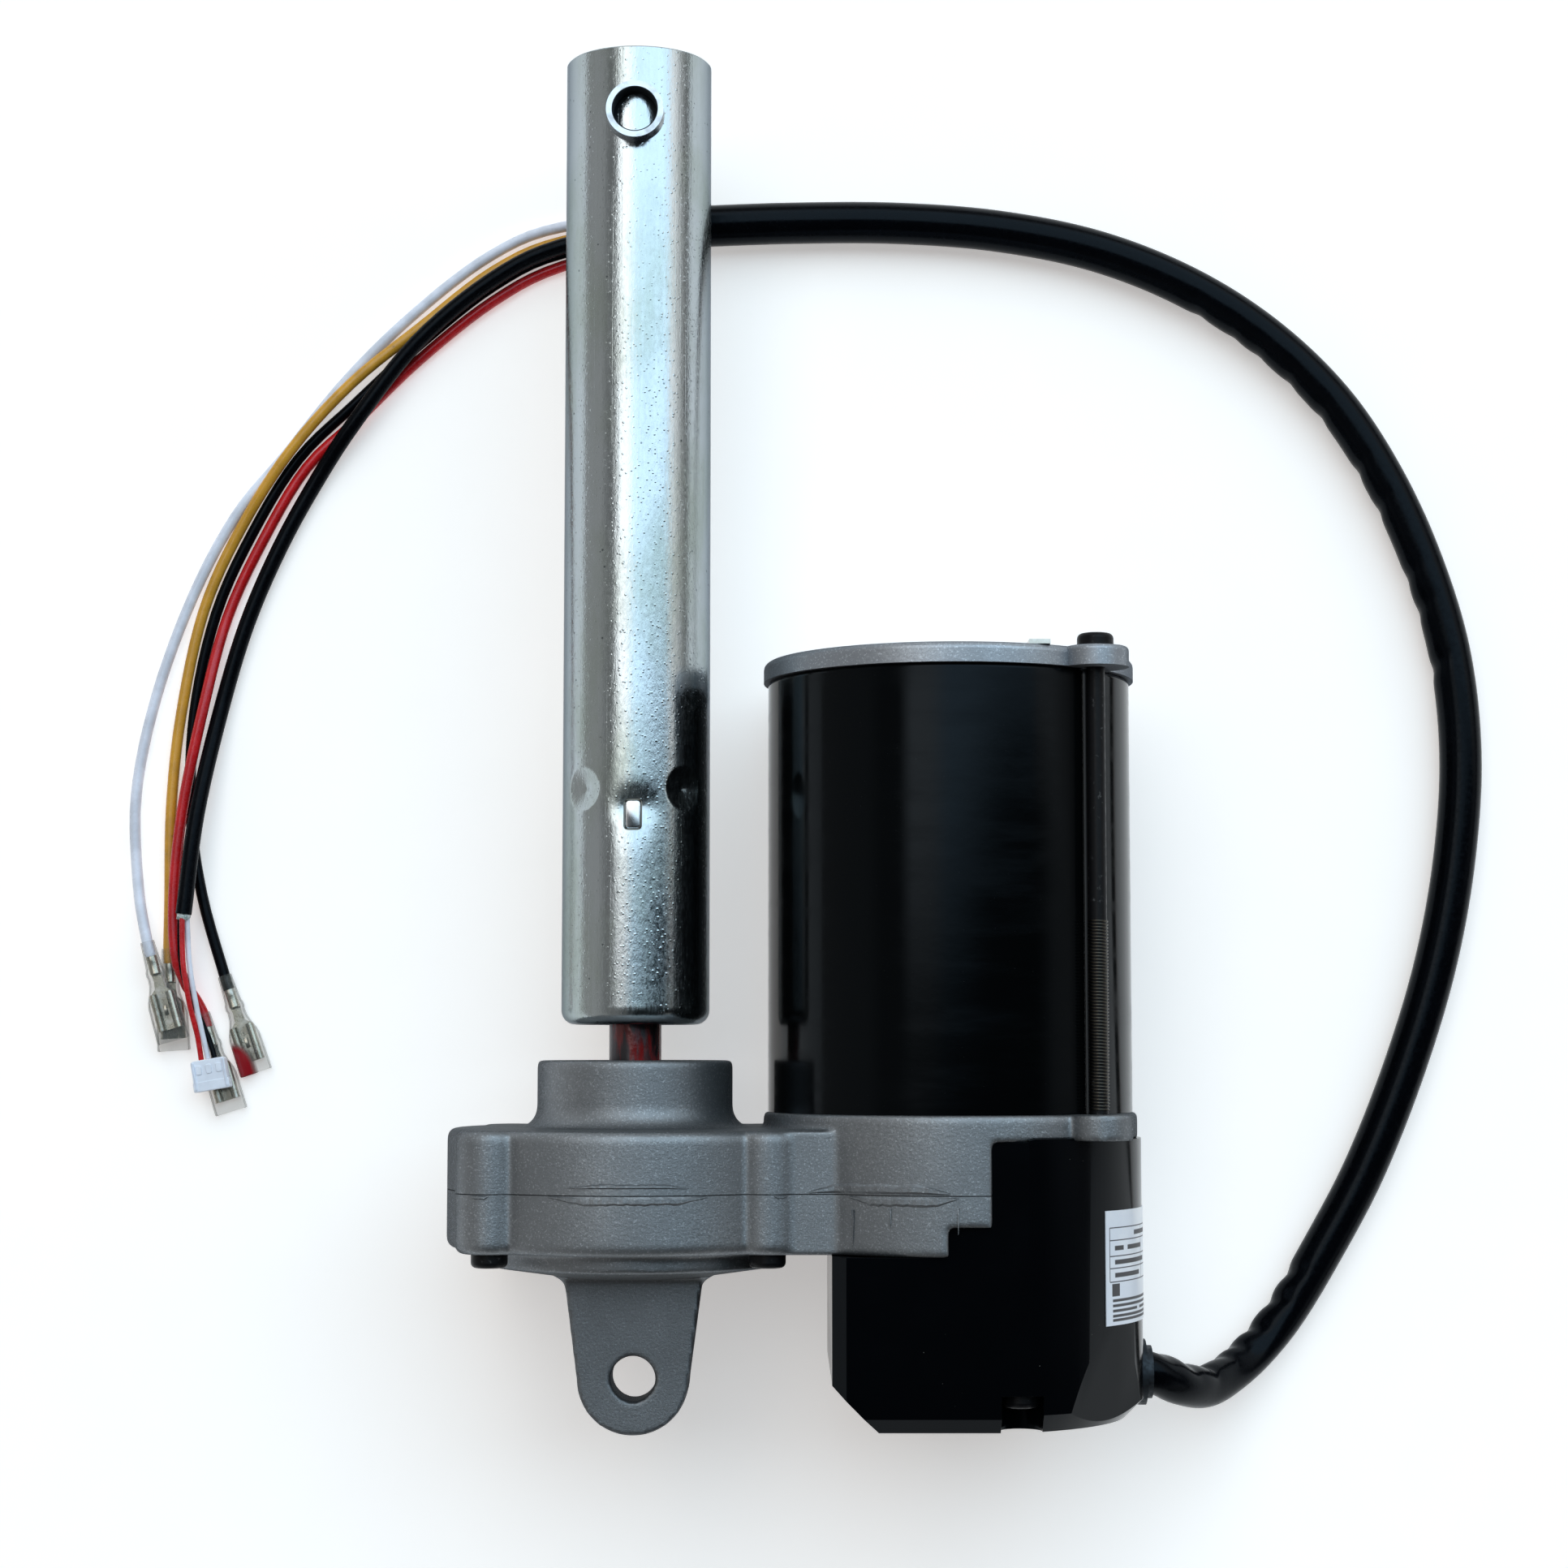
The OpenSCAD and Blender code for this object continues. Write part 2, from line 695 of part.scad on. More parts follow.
module nut_key() {
    color(zinc)
    translate([0, key_y, tube_r - key_sunk - key_size[2] / 2])
    cube(key_size, center = true);
}

module nut_rivets() {
    color(zinc) rivet_places(rivet_r, tube_in - 2, tube_r - 0.3);
}

module front_bushing() {
    color(zinc)
    translate([0, pin_to_pin, 0])
    difference() {
        cylinder(h = bushing_len, r = bushing_r, center = true);
        cylinder(h = bushing_len + 2 * over, r = pin_d / 2, center = true);
    }
}

// Plan of the cover, drawn inset by a wall: round beyond the motor axis, flat front and back.
module cover_plan(inset) {
    flat = cover_flat - inset;
    left = cover_left + inset;
    intersection() {
        translate([motor_offset, 0]) circle(cover_r - inset);
        translate([left, -flat]) square([2 * motor_offset, 2 * flat]);
    }
    polygon([
        [left, inset - corner_half], [left + corner_run, -flat], [motor_offset, -flat],
        [motor_offset, flat], [left + corner_run, flat], [left, corner_half - inset]
    ]);
}

// The outer body has its bottom rim cut back all round.
module cover_body(inset, y0, y1) {
    difference() {
        slab(y0, y1) cover_plan(inset);
        cover_rim_round(y0, cover_rim, cover_r - inset);
        for (side = [-1, 1])
            translate([motor_offset, y0, side * (cover_flat - inset)])
            rotate([45, 0, 0])
            cube([2 * motor_offset, flat_rim * sqrt(2), flat_rim * sqrt(2)], center = true);
        translate([cover_left + inset, y0, 0])
        rotate([0, 0, 45])
        cube([corner_cut, corner_cut, 3 * cover_r], center = true);
    }
}
module cover_rim_round(y0, rim, r)
    difference() {
        translate([motor_offset, y0 - over, -r - over])
        cube([r + over, rim + over, 2 * r + 2 * over]);
        turned(motor_offset, 0, [
            [0, y0 - 2 * over], [r - rim - 2 * over, y0 - 2 * over],
            [r + over, y0 + rim + over], [0, y0 + rim + over]
        ]);
    }

module sensor_cover() {
    color(gloss_black)
    difference() {
        union() {
            difference() {
                cover_body(0, cover_bottom, cover_steps[0][1]);
                cover_facet(facet_reach);
            }
            cable_port(port_r, port_foot_x, port_x);
        }
        cover_hollow();
        cover_top_steps();
        for (at = cover_screw_at) {
            rod(at[0], at[1], m4_clear_r, cover_bottom - over, floor_y + over);
            screw_pocket(at, m4_head_r + 0.5);
        }
        cable_port(port_bore_r, port_foot_x - cover_post_r, port_x + over);
    }
}

// The hollow leaves a post round each cover screw.
module cover_hollow()
    difference() {
        cover_body(cover_wall, cover_bottom + cover_wall, cover_steps[0][1] + over);
        cover_facet(facet_reach - cover_wall);
        for (at = cover_screw_at) rod(at[0], at[1], cover_post_r, cover_bottom, floor_y);
    }

// Recess for a screw head, open to the flat side next to it.
module screw_pocket(at, r) {
    rod(at[0], at[1], r, cover_bottom - over, cover_screw_y);
    translate([at[0] - r, cover_bottom - over, at[1] > 0 ? at[1] : at[1] - 10])
    cube([2 * r, cover_screw_y - cover_bottom + over, 10]);
}

// Space above the cover's stepped upper edge, which leaves the castings open to view.
module cover_top_steps()
    for (i = [0, 1])
        translate([cover_left - over, cover_steps[i + 1][1], -2 * cover_r])
        cube([cover_steps[i][0] - cover_left + over, 60, 4 * cover_r]);

// Flat on the lower front corner, which leans in toward the bottom beside the cable port.
module cover_facet(reach)
    translate([motor_offset, 0, 0])
    rotate([0, -facet_turn, 0])
    translate([reach, 0, 0])
    rotate([0, 0, -facet_tilt])
    translate([0, -facet_half, -facet_half])
    cube([facet_half, 2 * facet_half, 2 * facet_half]);

// A round boss or hole along X through the cover's side.
module cable_port(r, x0, x1)
    translate([x0, 0, port_z])
    rotate([0, 90, 0])
    cylinder(h = x1 - x0, r = r);

module cover_screws() {
    color(gloss_black)
    for (at = cover_screw_at)
        screw_up(at[0], at[1], cover_screw_y - m4_head_h, cover_screw_top);
}

module rating_label() {
    color(nylon_white)
    intersection() {
        sleeve_ring(motor_offset, 0, cover_r + label_t, cover_r, label_y[0], label_y[1]);
        slab(label_y[0] - over, label_y[1] + over)
        translate([motor_offset, 0])
        polygon([
            [0, 0],
            for (a = [label_turn[0]:2:label_turn[1]]) 60 * [cos(a), sin(a)]
        ]);
    }
}

module cable_gland() {
    color(gloss_black)
    difference() {
        union() {
            cable_port(gland_r, gland_foot_x, gland_x);
            cable_port(port_r, port_x, port_x + gland_flange);
        }
        cable_port(sleeve_d / 2 + slack, gland_foot_x - over, gland_x + over);
    }
}

// Cords: each route point carries one ring of corners, square to the cord's heading there.
function unit(v) = v / norm(v);
function heading(p, i) = unit(p[min(i + 1, len(p) - 1)] - p[max(i - 1, 0)]);
function ring(p, i, r, sides) =
    let (t = heading(p, i), s = unit(cross([0, 0, 1], t)), u = cross(t, s))
    [for (k = [0:sides - 1]) p[i] + r * (cos(360 * (k + 0.5) / sides) * s
        + sin(360 * (k + 0.5) / sides) * u)];
module cord(p, d, sides) {
    last = len(p) - 1;
    corners = [for (i = [0:last]) each ring(p, i, d / 2, sides)];
    walls = [
        for (i = [0:last - 1])
            for (k = [0:sides - 1])
                let (a = i * sides + k, b = i * sides + (k + 1) % sides)
                each [[a, a + sides, b], [b, a + sides, b + sides]]
    ];
    ends = [[for (k = [0:sides - 1]) k], [for (k = [sides - 1:-1:0]) last * sides + k]];
    polyhedron(points = corners, faces = concat(walls, ends));
}

module cable_sleeve() { color(gloss_black) cord(sleeve_route, sleeve_d, 12); }
module white_wire() { color("white") cord(white_route, wire_d, 8); }
module yellow_wire() { color("goldenrod") cord(yellow_route, wire_d, 8); }
module black_wire() { color(gloss_black) cord(black_route, wire_d, 8); }
module red_wire() { color("firebrick") cord(red_route, wire_d, 8); }
module sensor_cable() { color(gloss_black) cord(sensor_route, sensor_d, 8); }
module red_lead() { color("firebrick") cord(red_lead_route, lead_d, 8); }
module white_lead() { color("white") cord(white_lead_route, lead_d, 8); }
module black_lead() { color(gloss_black) cord(black_lead_route, lead_d, 8); }

// Moves a piece drawn along +X onto a plug's place and heading.
module at_plug(plug)
    translate(plug[0])
    rotate([0, 0, plug[1]])
    children();

// Female blade terminal: crimped barrel, neck and rolled receptacle.
module blade_terminal() {
    color(tinned) {
        translate([barrel[0], 0, 0]) rotate([0, 90, 0]) cylinder(h = barrel[1] - barrel[0], r = barrel[2]);
        translate([barrel[1] - 0.2, -1.2, -0.9]) cube([5, 2.4, 0.8]);
        difference() {
            translate([receptacle_x, -receptacle[1] / 2, -receptacle[2] / 2]) cube(receptacle);
            translate([receptacle_x + 1.4, -2.4, -0.5]) cube([receptacle[0], 4.8, 0.9]);
            translate([receptacle_x + 1.4, -0.5, 0]) cube([receptacle[0], 1, 2]);
        }
    }
}
module white_terminal() { at_plug(white_plug) blade_terminal(); }
module yellow_terminal() { at_plug(yellow_plug) blade_terminal(); }
module black_terminal() { at_plug(black_plug) blade_terminal(); }
module red_terminal() { at_plug(red_plug) blade_terminal(); }

// Soft vinyl boot that hugs the wire and widens over the receptacle.
module boot_section(row, inset)
    translate([row[0], 0, 0])
    rotate([90, 0, 90])
    linear_extrude(0.01)
    for (side = [-1, 1])
        translate([side * (row[1] - row[2]) / 2, 0])
        circle(row[2] / 2 - inset, $fn = boot_sides);
module boot_solid(inset)
    for (i = [0:len(boot_rows) - 2])
        hull() {
            boot_section(boot_rows[i], inset);
            boot_section(boot_rows[i + 1], inset);
        }
module terminal_boot() {
    color(clear_vinyl)
    difference() {
        boot_solid(0);
        boot_solid(boot_wall);
        translate([-boot_wall, 0, 0]) rotate([0, 90, 0]) cylinder(h = 3 * boot_wall, r = wire_d / 2);
        translate([boot_rows[3][0] - 2 * boot_wall, -boot_mouth[0] / 2, -boot_mouth[1] / 2])
        cube([1, boot_mouth[0], boot_mouth[1]]);
    }
}
module white_boot() { at_plug(white_plug) terminal_boot(); }
module yellow_boot() { at_plug(yellow_plug) terminal_boot(); }
module black_boot() { at_plug(black_plug) terminal_boot(); }
module red_boot() { at_plug(red_plug) terminal_boot(); }

module sensor_connector() {
    color(nylon_white)
    translate(connector_at)
    rotate([0, 0, connector_heading])
    difference() {
        translate([0, -connector_size[0] / 2, -connector_size[2] / 2])
        cube([connector_size[1], connector_size[0], connector_size[2]]);
        for (slot = [-1, 0, 1])
            translate([connector_slots[0], slot * connector_slots[1], 0])
            translate([0, -connector_slots[2] / 2, -connector_slots[2] / 2])
            cube([connector_size[1], connector_slots[2], connector_slots[2]]);
    }
}

upper_housing();
lower_housing();
housing_screws();
motor_can();
motor_end_cap();
through_bolts();
earth_tab();
stator_core();
stator_windings();
motor_bearings();
rotor_core();
motor_shaft();
magnet_wheel();
sensor_board();
board_screws();
idler_shaft();
idler_gear();
idler_pinion();
spindle_gear();
gear_lock_nut();
lead_screw();
thrust_bearing();
spindle_bearing();
spindle_seal();
outer_tube();
drive_nut();
nut_key();
nut_rivets();
front_bushing();
sensor_cover();
cover_screws();
rating_label();
cable_gland();
cable_sleeve();
white_wire();
yellow_wire();
black_wire();
red_wire();
sensor_cable();
red_lead();
white_lead();
black_lead();
white_terminal();
yellow_terminal();
black_terminal();
red_terminal();
white_boot();
yellow_boot();
black_boot();
red_boot();
sensor_connector();
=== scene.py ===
"""Lift actuator with a parallel gear motor, lying on its side on a pale surface.

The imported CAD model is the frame. Pieces with a finer form than their CAD node replace it; the
other nodes stay and get a material. Lengths in tables are in millimetres and become metres in
the helper that reads them.
"""

import random
from math import copysign, cos, exp, hypot, pi, radians, sin, tau

import bmesh
import bpy
from mathutils import Matrix, Vector


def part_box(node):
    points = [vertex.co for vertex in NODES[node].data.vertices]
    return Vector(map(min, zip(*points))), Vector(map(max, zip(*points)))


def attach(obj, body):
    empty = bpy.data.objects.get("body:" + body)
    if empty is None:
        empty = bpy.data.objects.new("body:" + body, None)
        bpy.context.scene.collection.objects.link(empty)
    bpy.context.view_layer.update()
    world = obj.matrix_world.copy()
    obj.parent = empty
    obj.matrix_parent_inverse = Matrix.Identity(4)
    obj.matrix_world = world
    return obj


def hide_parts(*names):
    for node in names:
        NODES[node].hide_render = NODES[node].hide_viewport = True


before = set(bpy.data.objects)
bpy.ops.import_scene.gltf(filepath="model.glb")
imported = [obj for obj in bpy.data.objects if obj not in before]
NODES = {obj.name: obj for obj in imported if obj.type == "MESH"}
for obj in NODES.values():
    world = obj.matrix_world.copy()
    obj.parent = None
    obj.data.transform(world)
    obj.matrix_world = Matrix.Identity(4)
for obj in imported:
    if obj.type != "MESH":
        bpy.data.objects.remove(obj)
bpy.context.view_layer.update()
MM = 0.001

# Driving dimensions, read from the frame
TUBE_LOW, TUBE_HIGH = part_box("outer_tube")
TUBE_R = (TUBE_HIGH.x - TUBE_LOW.x) / 2
FLOOR_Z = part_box("lower_housing")[0].z
MOTOR_X = sum(c.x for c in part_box("motor_shaft")) / 2


def new_object(name, data):
    obj = bpy.data.objects.new(name, data)
    bpy.context.scene.collection.objects.link(obj)
    return obj


# ---- camera
CAMERA_AT, CAMERA_TILT = (0.0336, 0.0735, 0.6914), radians(4.93)
LENS_MM, SENSOR_MM = 69.97, 36


def add_camera():
    data = bpy.data.cameras.new("camera")
    data.sensor_width, data.lens = SENSOR_MM, LENS_MM
    camera = new_object("camera", data)
    camera.location, camera.rotation_euler.x = CAMERA_AT, CAMERA_TILT
    bpy.context.scene.camera = camera


add_camera()


# ---- mesh helpers
def add_object(name, data, material, body="housing", smooth=True, sharp=None):
    """Adds a piece that rides on a body; edges over sharp degrees stay sharp."""
    obj = new_object(name, data)
    data.materials.append(material)
    if smooth and obj.type == "MESH":
        data.shade_smooth()
    if sharp:
        data.set_sharp_from_angle(angle=radians(sharp))
    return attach(obj, body)


def around(count):
    """Even steps of angle round a full turn."""
    return [tau * k / count for k in range(count)]


def loft(rings, caps=True):
    """A bmesh skin through closed rings that all have the same number of points."""
    bm = bmesh.new()
    rows = [[bm.verts.new(p) for p in ring] for ring in rings]
    count = len(rows[0])
    for a, b in zip(rows, rows[1:]):
        for i in range(count):
            j = (i + 1) % count
            bm.faces.new((a[i], a[j], b[j], b[i]))
    if caps:
        bm.faces.new(rows[0][::-1])
        bm.faces.new(rows[-1])
    bmesh.ops.recalc_face_normals(bm, faces=bm.faces)
    return bm


def to_mesh(bm, name):
    mesh = bpy.data.meshes.new(name)
    bm.to_mesh(mesh)
    bm.free()
    return mesh


def joined(parts, name):
    """One mesh from several bmesh parts."""
    bm = bmesh.new()
    for part in parts:
        scrap = bpy.data.meshes.new("scrap")
        part.to_mesh(scrap)
        part.free()
        bm.from_mesh(scrap)
        bpy.data.meshes.remove(scrap)
    return to_mesh(bm, name)


# ---- cord routes
# Height of a line where it lies on the floor; such points leave it out of their route
SLEEVE_LIES, WIRE_LIES = -37, -40.6
SLEEVE_ROUTE = [
    (107, 0, -10), (117, 0, -10), (124, -3, -14.5), (131, -4.5, -22.5), (138, -2, -30),
    (145, 3, -35), (152, 11), (160, 24), (171, 44), (181, 68), (189, 93), (194, 118), (196, 143),
    (194, 167), (188, 189), (179, 210), (167, 229), (151, 245), (132, 257.5), (110, 266.5),
    (86, 271.5), (61, 273.5), (35, 273.5), (8, 272.5),
]
WIRE_ROUTES = {
    "white_wire": [
        (8, 275.4, -37.6), (-21, 273.5), (-38, 266.5), (-56, 252.5), (-72.5, 236), (-88, 216.5),
        (-99.5, 202), (-109.5, 182.5), (-118, 158), (-122.5, 134), (-121.5, 112, -40.1),
        (-118.5, 98.5, -37), (-117.6, 95.2, -37),
    ],
    "yellow_wire": [
        (8, 273.6, -39.8), (-20.5, 270), (-37.5, 262.5), (-55.5, 248, -39.8), (-71.5, 234, -37.6),
        (-86, 217.5, -37.6), (-98, 199, -39.8), (-107, 178.5), (-112, 153.5), (-114, 131),
        (-114, 108.5), (-114, 97, -40.4), (-113.8, 93.5, -40.4),
    ],
    "black_wire": [
        (8, 270.6, -39.4), (-20.5, 267), (-37.5, 258.8), (-55.5, 244.2), (-71, 229.5),
        (-84.5, 216), (-95.4, 197.8), (-104, 177.8), (-108.8, 153.8), (-109.3, 130),
        (-106.3, 110), (-100.5, 90.5, -40.4), (-99.4, 87.2, -40.4),
    ],
    "red_wire": [
        (8, 269.4, -36.8), (-20.5, 263.8), (-37.5, 255), (-55.5, 240.4), (-70.5, 225.5),
        (-82.5, 213.8), (-92.6, 196.4), (-101.2, 177), (-106.2, 154.5, -37.8),
        (-110.8, 130, -37.8), (-112.5, 108.5, -37.8), (-111.3, 93, -37.8), (-107, 84.5, -39.8),
        (-105.5, 81.5, -40.4), (-104.5, 78.2, -40.4),
    ],
    "sensor_cable": [
        (8, 272.7, -34.7), (-20.5, 267.7, -36.8), (-37.5, 259.3, -36.8), (-55.5, 244, -36.8),
        (-70, 225, -37), (-79.6, 211, -39.8), (-88.5, 194.4, -40), (-96.4, 175.3, -40),
        (-102.4, 153.5, -39.4), (-107, 129, -36), (-109.5, 105, -34.8),
    ],
    "red_lead": [
        (-109.7, 104.8, -34.1), (-109.5, 96.5, -34.2), (-109, 91, -34.2), (-107.6, 83, -35),
        (-106, 76.5, -36), (-105, 70.4, -36.4),
    ],
    "white_lead": [
        (-108.8, 104.9, -35.4), (-108.2, 94.5, -35.6), (-107.2, 88, -35.6), (-105.8, 81, -35.8),
        (-104.4, 75, -36.2), (-103.4, 70.7, -36.4),
    ],
    "black_lead": [
        (-110.4, 104.7, -35.5), (-110.3, 95.5, -35.8), (-109, 88, -36.6), (-106, 81, -37.6),
        (-103.4, 75.5, -37.2), (-101.8, 71, -36.4),
    ],
}
# Heading of the plug on each power wire, in degrees
HEADINGS = {"white": -74, "yellow": -86, "black": -71, "red": -73}
# Diameter, far end and the pieces on it, for each kind of wire
WIRE_KINDS = {
    "wire": (2.7 * MM, "connector", ("{}_receptacle", "{}_sleeve_boot")),
    "cable": (3.9 * MM, "bare", ("cable_filler",)),
    "lead": (1.3 * MM, "connector", ("connector_shell",)),
}
SLEEVE_D = 10 * MM
# Creases on the inside of the sleeve's bends: from, to and mean gap in metres, depth in mm
CREASES = ((0.012, 0.075, 0.0085, 0.9), (0.225, 0.345, 0.013, 0.55))
CREASE_WIDTH, CREASE_LEAN = 0.0021, 0.0022
# Where the sleeve is crumpled, how far that reaches to each side, and how deep it goes
CRUMPLE_AT, CRUMPLE_REACH, CRUMPLE_DEPTH = 0.04, 0.045, 0.35 * MM
CRUMPLES, TWIST = 3, 90  # folds round the sleeve, and their turn in radians for each metre


def smooth_path(route, step, lying=WIRE_LIES):
    """A Catmull-Rom line through a route, in metres, with a point about every step metres."""
    pts = [Vector((*p, lying)[:3]) * MM for p in route]
    pts = [2 * pts[0] - pts[1], *pts, 2 * pts[-1] - pts[-2]]
    path = []
    for a, b, c, d in zip(pts, pts[1:], pts[2:], pts[3:]):
        parts = max(2, round((c - b).length / step))
        for i in range(parts):
            t = i / parts
            bend = (2 * a - 5 * b + 4 * c - d) * t**2 + (3 * b - a - 3 * c + d) * t**3
            path.append(0.5 * (2 * b + (c - a) * t + bend))
    return path + [pts[-2]]


def path_frames(path):
    """Heading, left and up at each point of a path that lies mostly flat."""
    frames = []
    for i in range(len(path)):
        heading = (path[min(i + 1, len(path) - 1)] - path[max(i - 1, 0)]).normalized()
        left = Vector((-heading.y, heading.x, 0)).normalized()
        frames.append((heading, left, heading.cross(left)))
    return frames


def wire_curve(name, route, diameter, material):
    """A round wire as one open spline."""
    path = smooth_path(route, 4 * MM)
    data = bpy.data.curves.new(name, "CURVE")
    data.dimensions = "3D"
    data.bevel_depth = diameter / 2
    data.bevel_resolution = 5
    data.use_fill_caps = True
    spline = data.splines.new("POLY")
    spline.points.add(len(path) - 1)
    for point, place in zip(spline.points, path):
        point.co = (*place, 1)
    spline.use_smooth = True
    return add_object(name, data, material), path


# ---- node helpers
class Nodes:
    """Short calls that add nodes to a tree; an input is a socket or a value."""

    def __init__(self, tree):
        self.tree = tree

    def add(self, kind, inputs=None, **attributes):
        node = self.tree.nodes.new(kind)
        for key, value in attributes.items():
            setattr(node, key, value)
        for key, value in (inputs or {}).items():
            if isinstance(value, bpy.types.NodeSocket):
                self.tree.links.new(value, node.inputs[key])
            else:
                node.inputs[key].default_value = value
        return node

    def math(self, operation, a, b=0.0, c=0.0):
        return self.add("ShaderNodeMath", {0: a, 1: b, 2: c}, operation=operation).outputs[0]

    def times(self, a, b):
        return self.math("MULTIPLY", a, b)

    def between(self, value, low, high, to_low=0.0, to_high=1.0):
        """Value taken smoothly from the range low..high to the range to_low..to_high."""
        inputs = {0: value, 1: low, 2: high, 3: to_low, 4: to_high}
        node = self.add("ShaderNodeMapRange", inputs, interpolation_type="SMOOTHSTEP")
        return node.outputs[0]

    def mix(self, factor, a, b):
        """Colour between a and b; each is a colour or a socket."""
        a, b = (v if isinstance(v, bpy.types.NodeSocket) else (*v, 1) for v in (a, b))
        return self.add("ShaderNodeMix", {0: factor, 6: a, 7: b}, data_type="RGBA").outputs[2]


class Paint(Nodes):
    """A Principled material, with calls for the textures behind its sockets."""

    def __init__(self, name, color, **sockets):
        self.material = bpy.data.materials.new(name)
        self.material.use_nodes = True
        super().__init__(self.material.node_tree)
        self.shader = self.tree.nodes["Principled BSDF"]
        self.shader.inputs["Base Color"].default_value = (*color, 1)
        for socket, value in sockets.items():
            self.shader.inputs[socket.replace("_", " ")].default_value = value
        self.place = self.add("ShaderNodeTexCoord").outputs["Object"]

    def noise(self, scale, detail=4, rough=0.55, stretch=None):
        """Noise; stretch scales its coordinates along each axis first."""
        place = self.place
        if stretch:
            place = self.add("ShaderNodeMapping", {"Vector": place, "Scale": stretch}).outputs[0]
        inputs = {"Vector": place, "Scale": scale, "Detail": detail}
        return self.add("ShaderNodeTexNoise", {**inputs, "Roughness": rough}).outputs[0]

    def cells(self, scale, feature="F1"):
        inputs = {"Vector": self.place, "Scale": scale}
        return self.add("ShaderNodeTexVoronoi", inputs, feature=feature).outputs["Distance"]

    def bands(self, scale, distortion=0.0):
        """Waves along Y."""
        inputs = {"Vector": self.place, "Scale": scale, "Distortion": distortion}
        return self.add("ShaderNodeTexWave", inputs, bands_direction="Y").outputs["Fac"]

    def axis(self, name):
        return self.add("ShaderNodeSeparateXYZ", {0: self.place}).outputs[name]

    def inside(self, value, low, high, soft):
        """1 where low < value < high, with soft ends."""
        rise = self.between(value, low - soft, low + soft)
        fall = self.between(value, high - soft, high + soft, 1, 0)
        return self.times(rise, fall)

    def drive(self, socket, value):
        self.tree.links.new(value, self.shader.inputs[socket])

    def finish(self, color, roughness, *bumps):
        """The finished material; each bump is (height, depth in mm, strength)."""
        self.drive("Base Color", color)
        self.drive("Roughness", roughness)
        inputs = {}
        for height, depth, strength in bumps:
            inputs.update({"Height": height, "Distance": depth * MM, "Strength": strength})
            inputs["Normal"] = self.add("ShaderNodeBump", inputs).outputs[0]
        self.drive("Normal", inputs["Normal"])
        return self.material

    def follow(self, value, colors, roughness, depth, strength):
        """The finished material, with its colour, roughness and bump all led by one value."""
        rough = self.between(value, 0, 1, *roughness)
        return self.finish(self.mix(value, *colors), rough, (value, depth, strength))


def darker(color, share):
    return [c * share for c in color]


# ---- materials
# Tints of a metal's or a coat's grazing reflection
BLUE_SHEEN = (0.72, 0.86, 1.0, 1.0)
DULL_EDGE = (0.35, 0.37, 0.40, 1.0)
DARK_EDGE = (0.05, 0.06, 0.07, 1.0)
# Painted shade: the castings are darker below these heights, and the front bushing's bore within
# these radii
LUG_SHADE_HEIGHTS, BORE_R = (20 * MM, 25 * MM), (5.1 * MM, 5.3 * MM)


def cast_metal(name, color, grain=1.0):
    """Blasted aluminium casting: fine sandy grain with painted glints, flow marks, darker stains
    and painted shade below set heights.
    """
    p = Paint(name, color, Metallic=0.9, Roughness=0.45, Specular_Tint=DARK_EDGE)
    sand = p.noise(1500, 4, 0.75)
    flow = p.noise(38, 5, 0.6)
    # Painted glints: small specks of the grain are lightened in the colour
    painted_glint = p.between(p.noise(2300, 2, 0.6), 0.56, 0.7)
    stained = p.mix(p.between(flow, 0.35, 0.7), darker(color, 0.74), color)
    grained = p.mix(p.between(sand, 0.3, 0.7), darker(color, 0.72), stained)
    # Colour of the painted glints, lightened toward white
    bright = [min(c * 1.7, 1) for c in color]
    tone = p.mix(p.times(painted_glint, 0.55), grained, bright)
    # Painted shade: the casting's colour darkens below the given heights
    lug_shade = p.between(p.axis("Y"), *LUG_SHADE_HEIGHTS, 0.55, 0)
    tone = p.mix(lug_shade, tone, darker(color, 0.45))
    rough = p.between(flow, 0.3, 0.7, 0.52, 0.40)
    return p.finish(tone, rough, (flow, 0.25, 0.3), (sand, 0.09 * grain, 1.0))


def zinc_plate():
    """Blue-white zinc over drawn steel: sandy grain, faint draw lines, scratches and dark pits."""
    base = (0.42, 0.47, 0.50)
    p = Paint("zinc plate", base, Metallic=1.0, Roughness=0.2, Specular_Tint=DULL_EDGE)
    streaks = p.noise(1.0, 5, 0.65, (900, 22, 900))
    clouds = p.noise(60, 6, 0.6, (1, 0.45, 1))
    scratch = p.noise(1.0, 2, 0.5, (2600, 12, 2600))
    grain = p.noise(1.0, 3, 0.7, (1500, 600, 1500))
    pits = p.between(p.cells(270), 0.05, 0.09, 1, 0)
    beads = p.between(p.cells(850), 0.05, 0.28, 1, 0)
    tone = p.mix(p.between(clouds, 0.4, 0.7), (0.44, 0.485, 0.51), (0.37, 0.42, 0.40))
    tone = p.mix(p.between(streaks, 0.45, 0.75, 0, 0.3), tone, (0.50, 0.56, 0.59))
    tone = p.mix(p.times(pits, 0.8), tone, (0.10, 0.12, 0.13))
    rough = p.between(p.math("ADD", grain, clouds), 0.7, 1.4, 0.12, 0.30)
    scored = p.between(scratch, 0.62, 0.75)
    return p.finish(
        tone, rough, (grain, 0.06, 0.6), (beads, 0.03, 1.0), (scored, 0.02, 0.4),
        (clouds, 0.12, 0.35),
    )


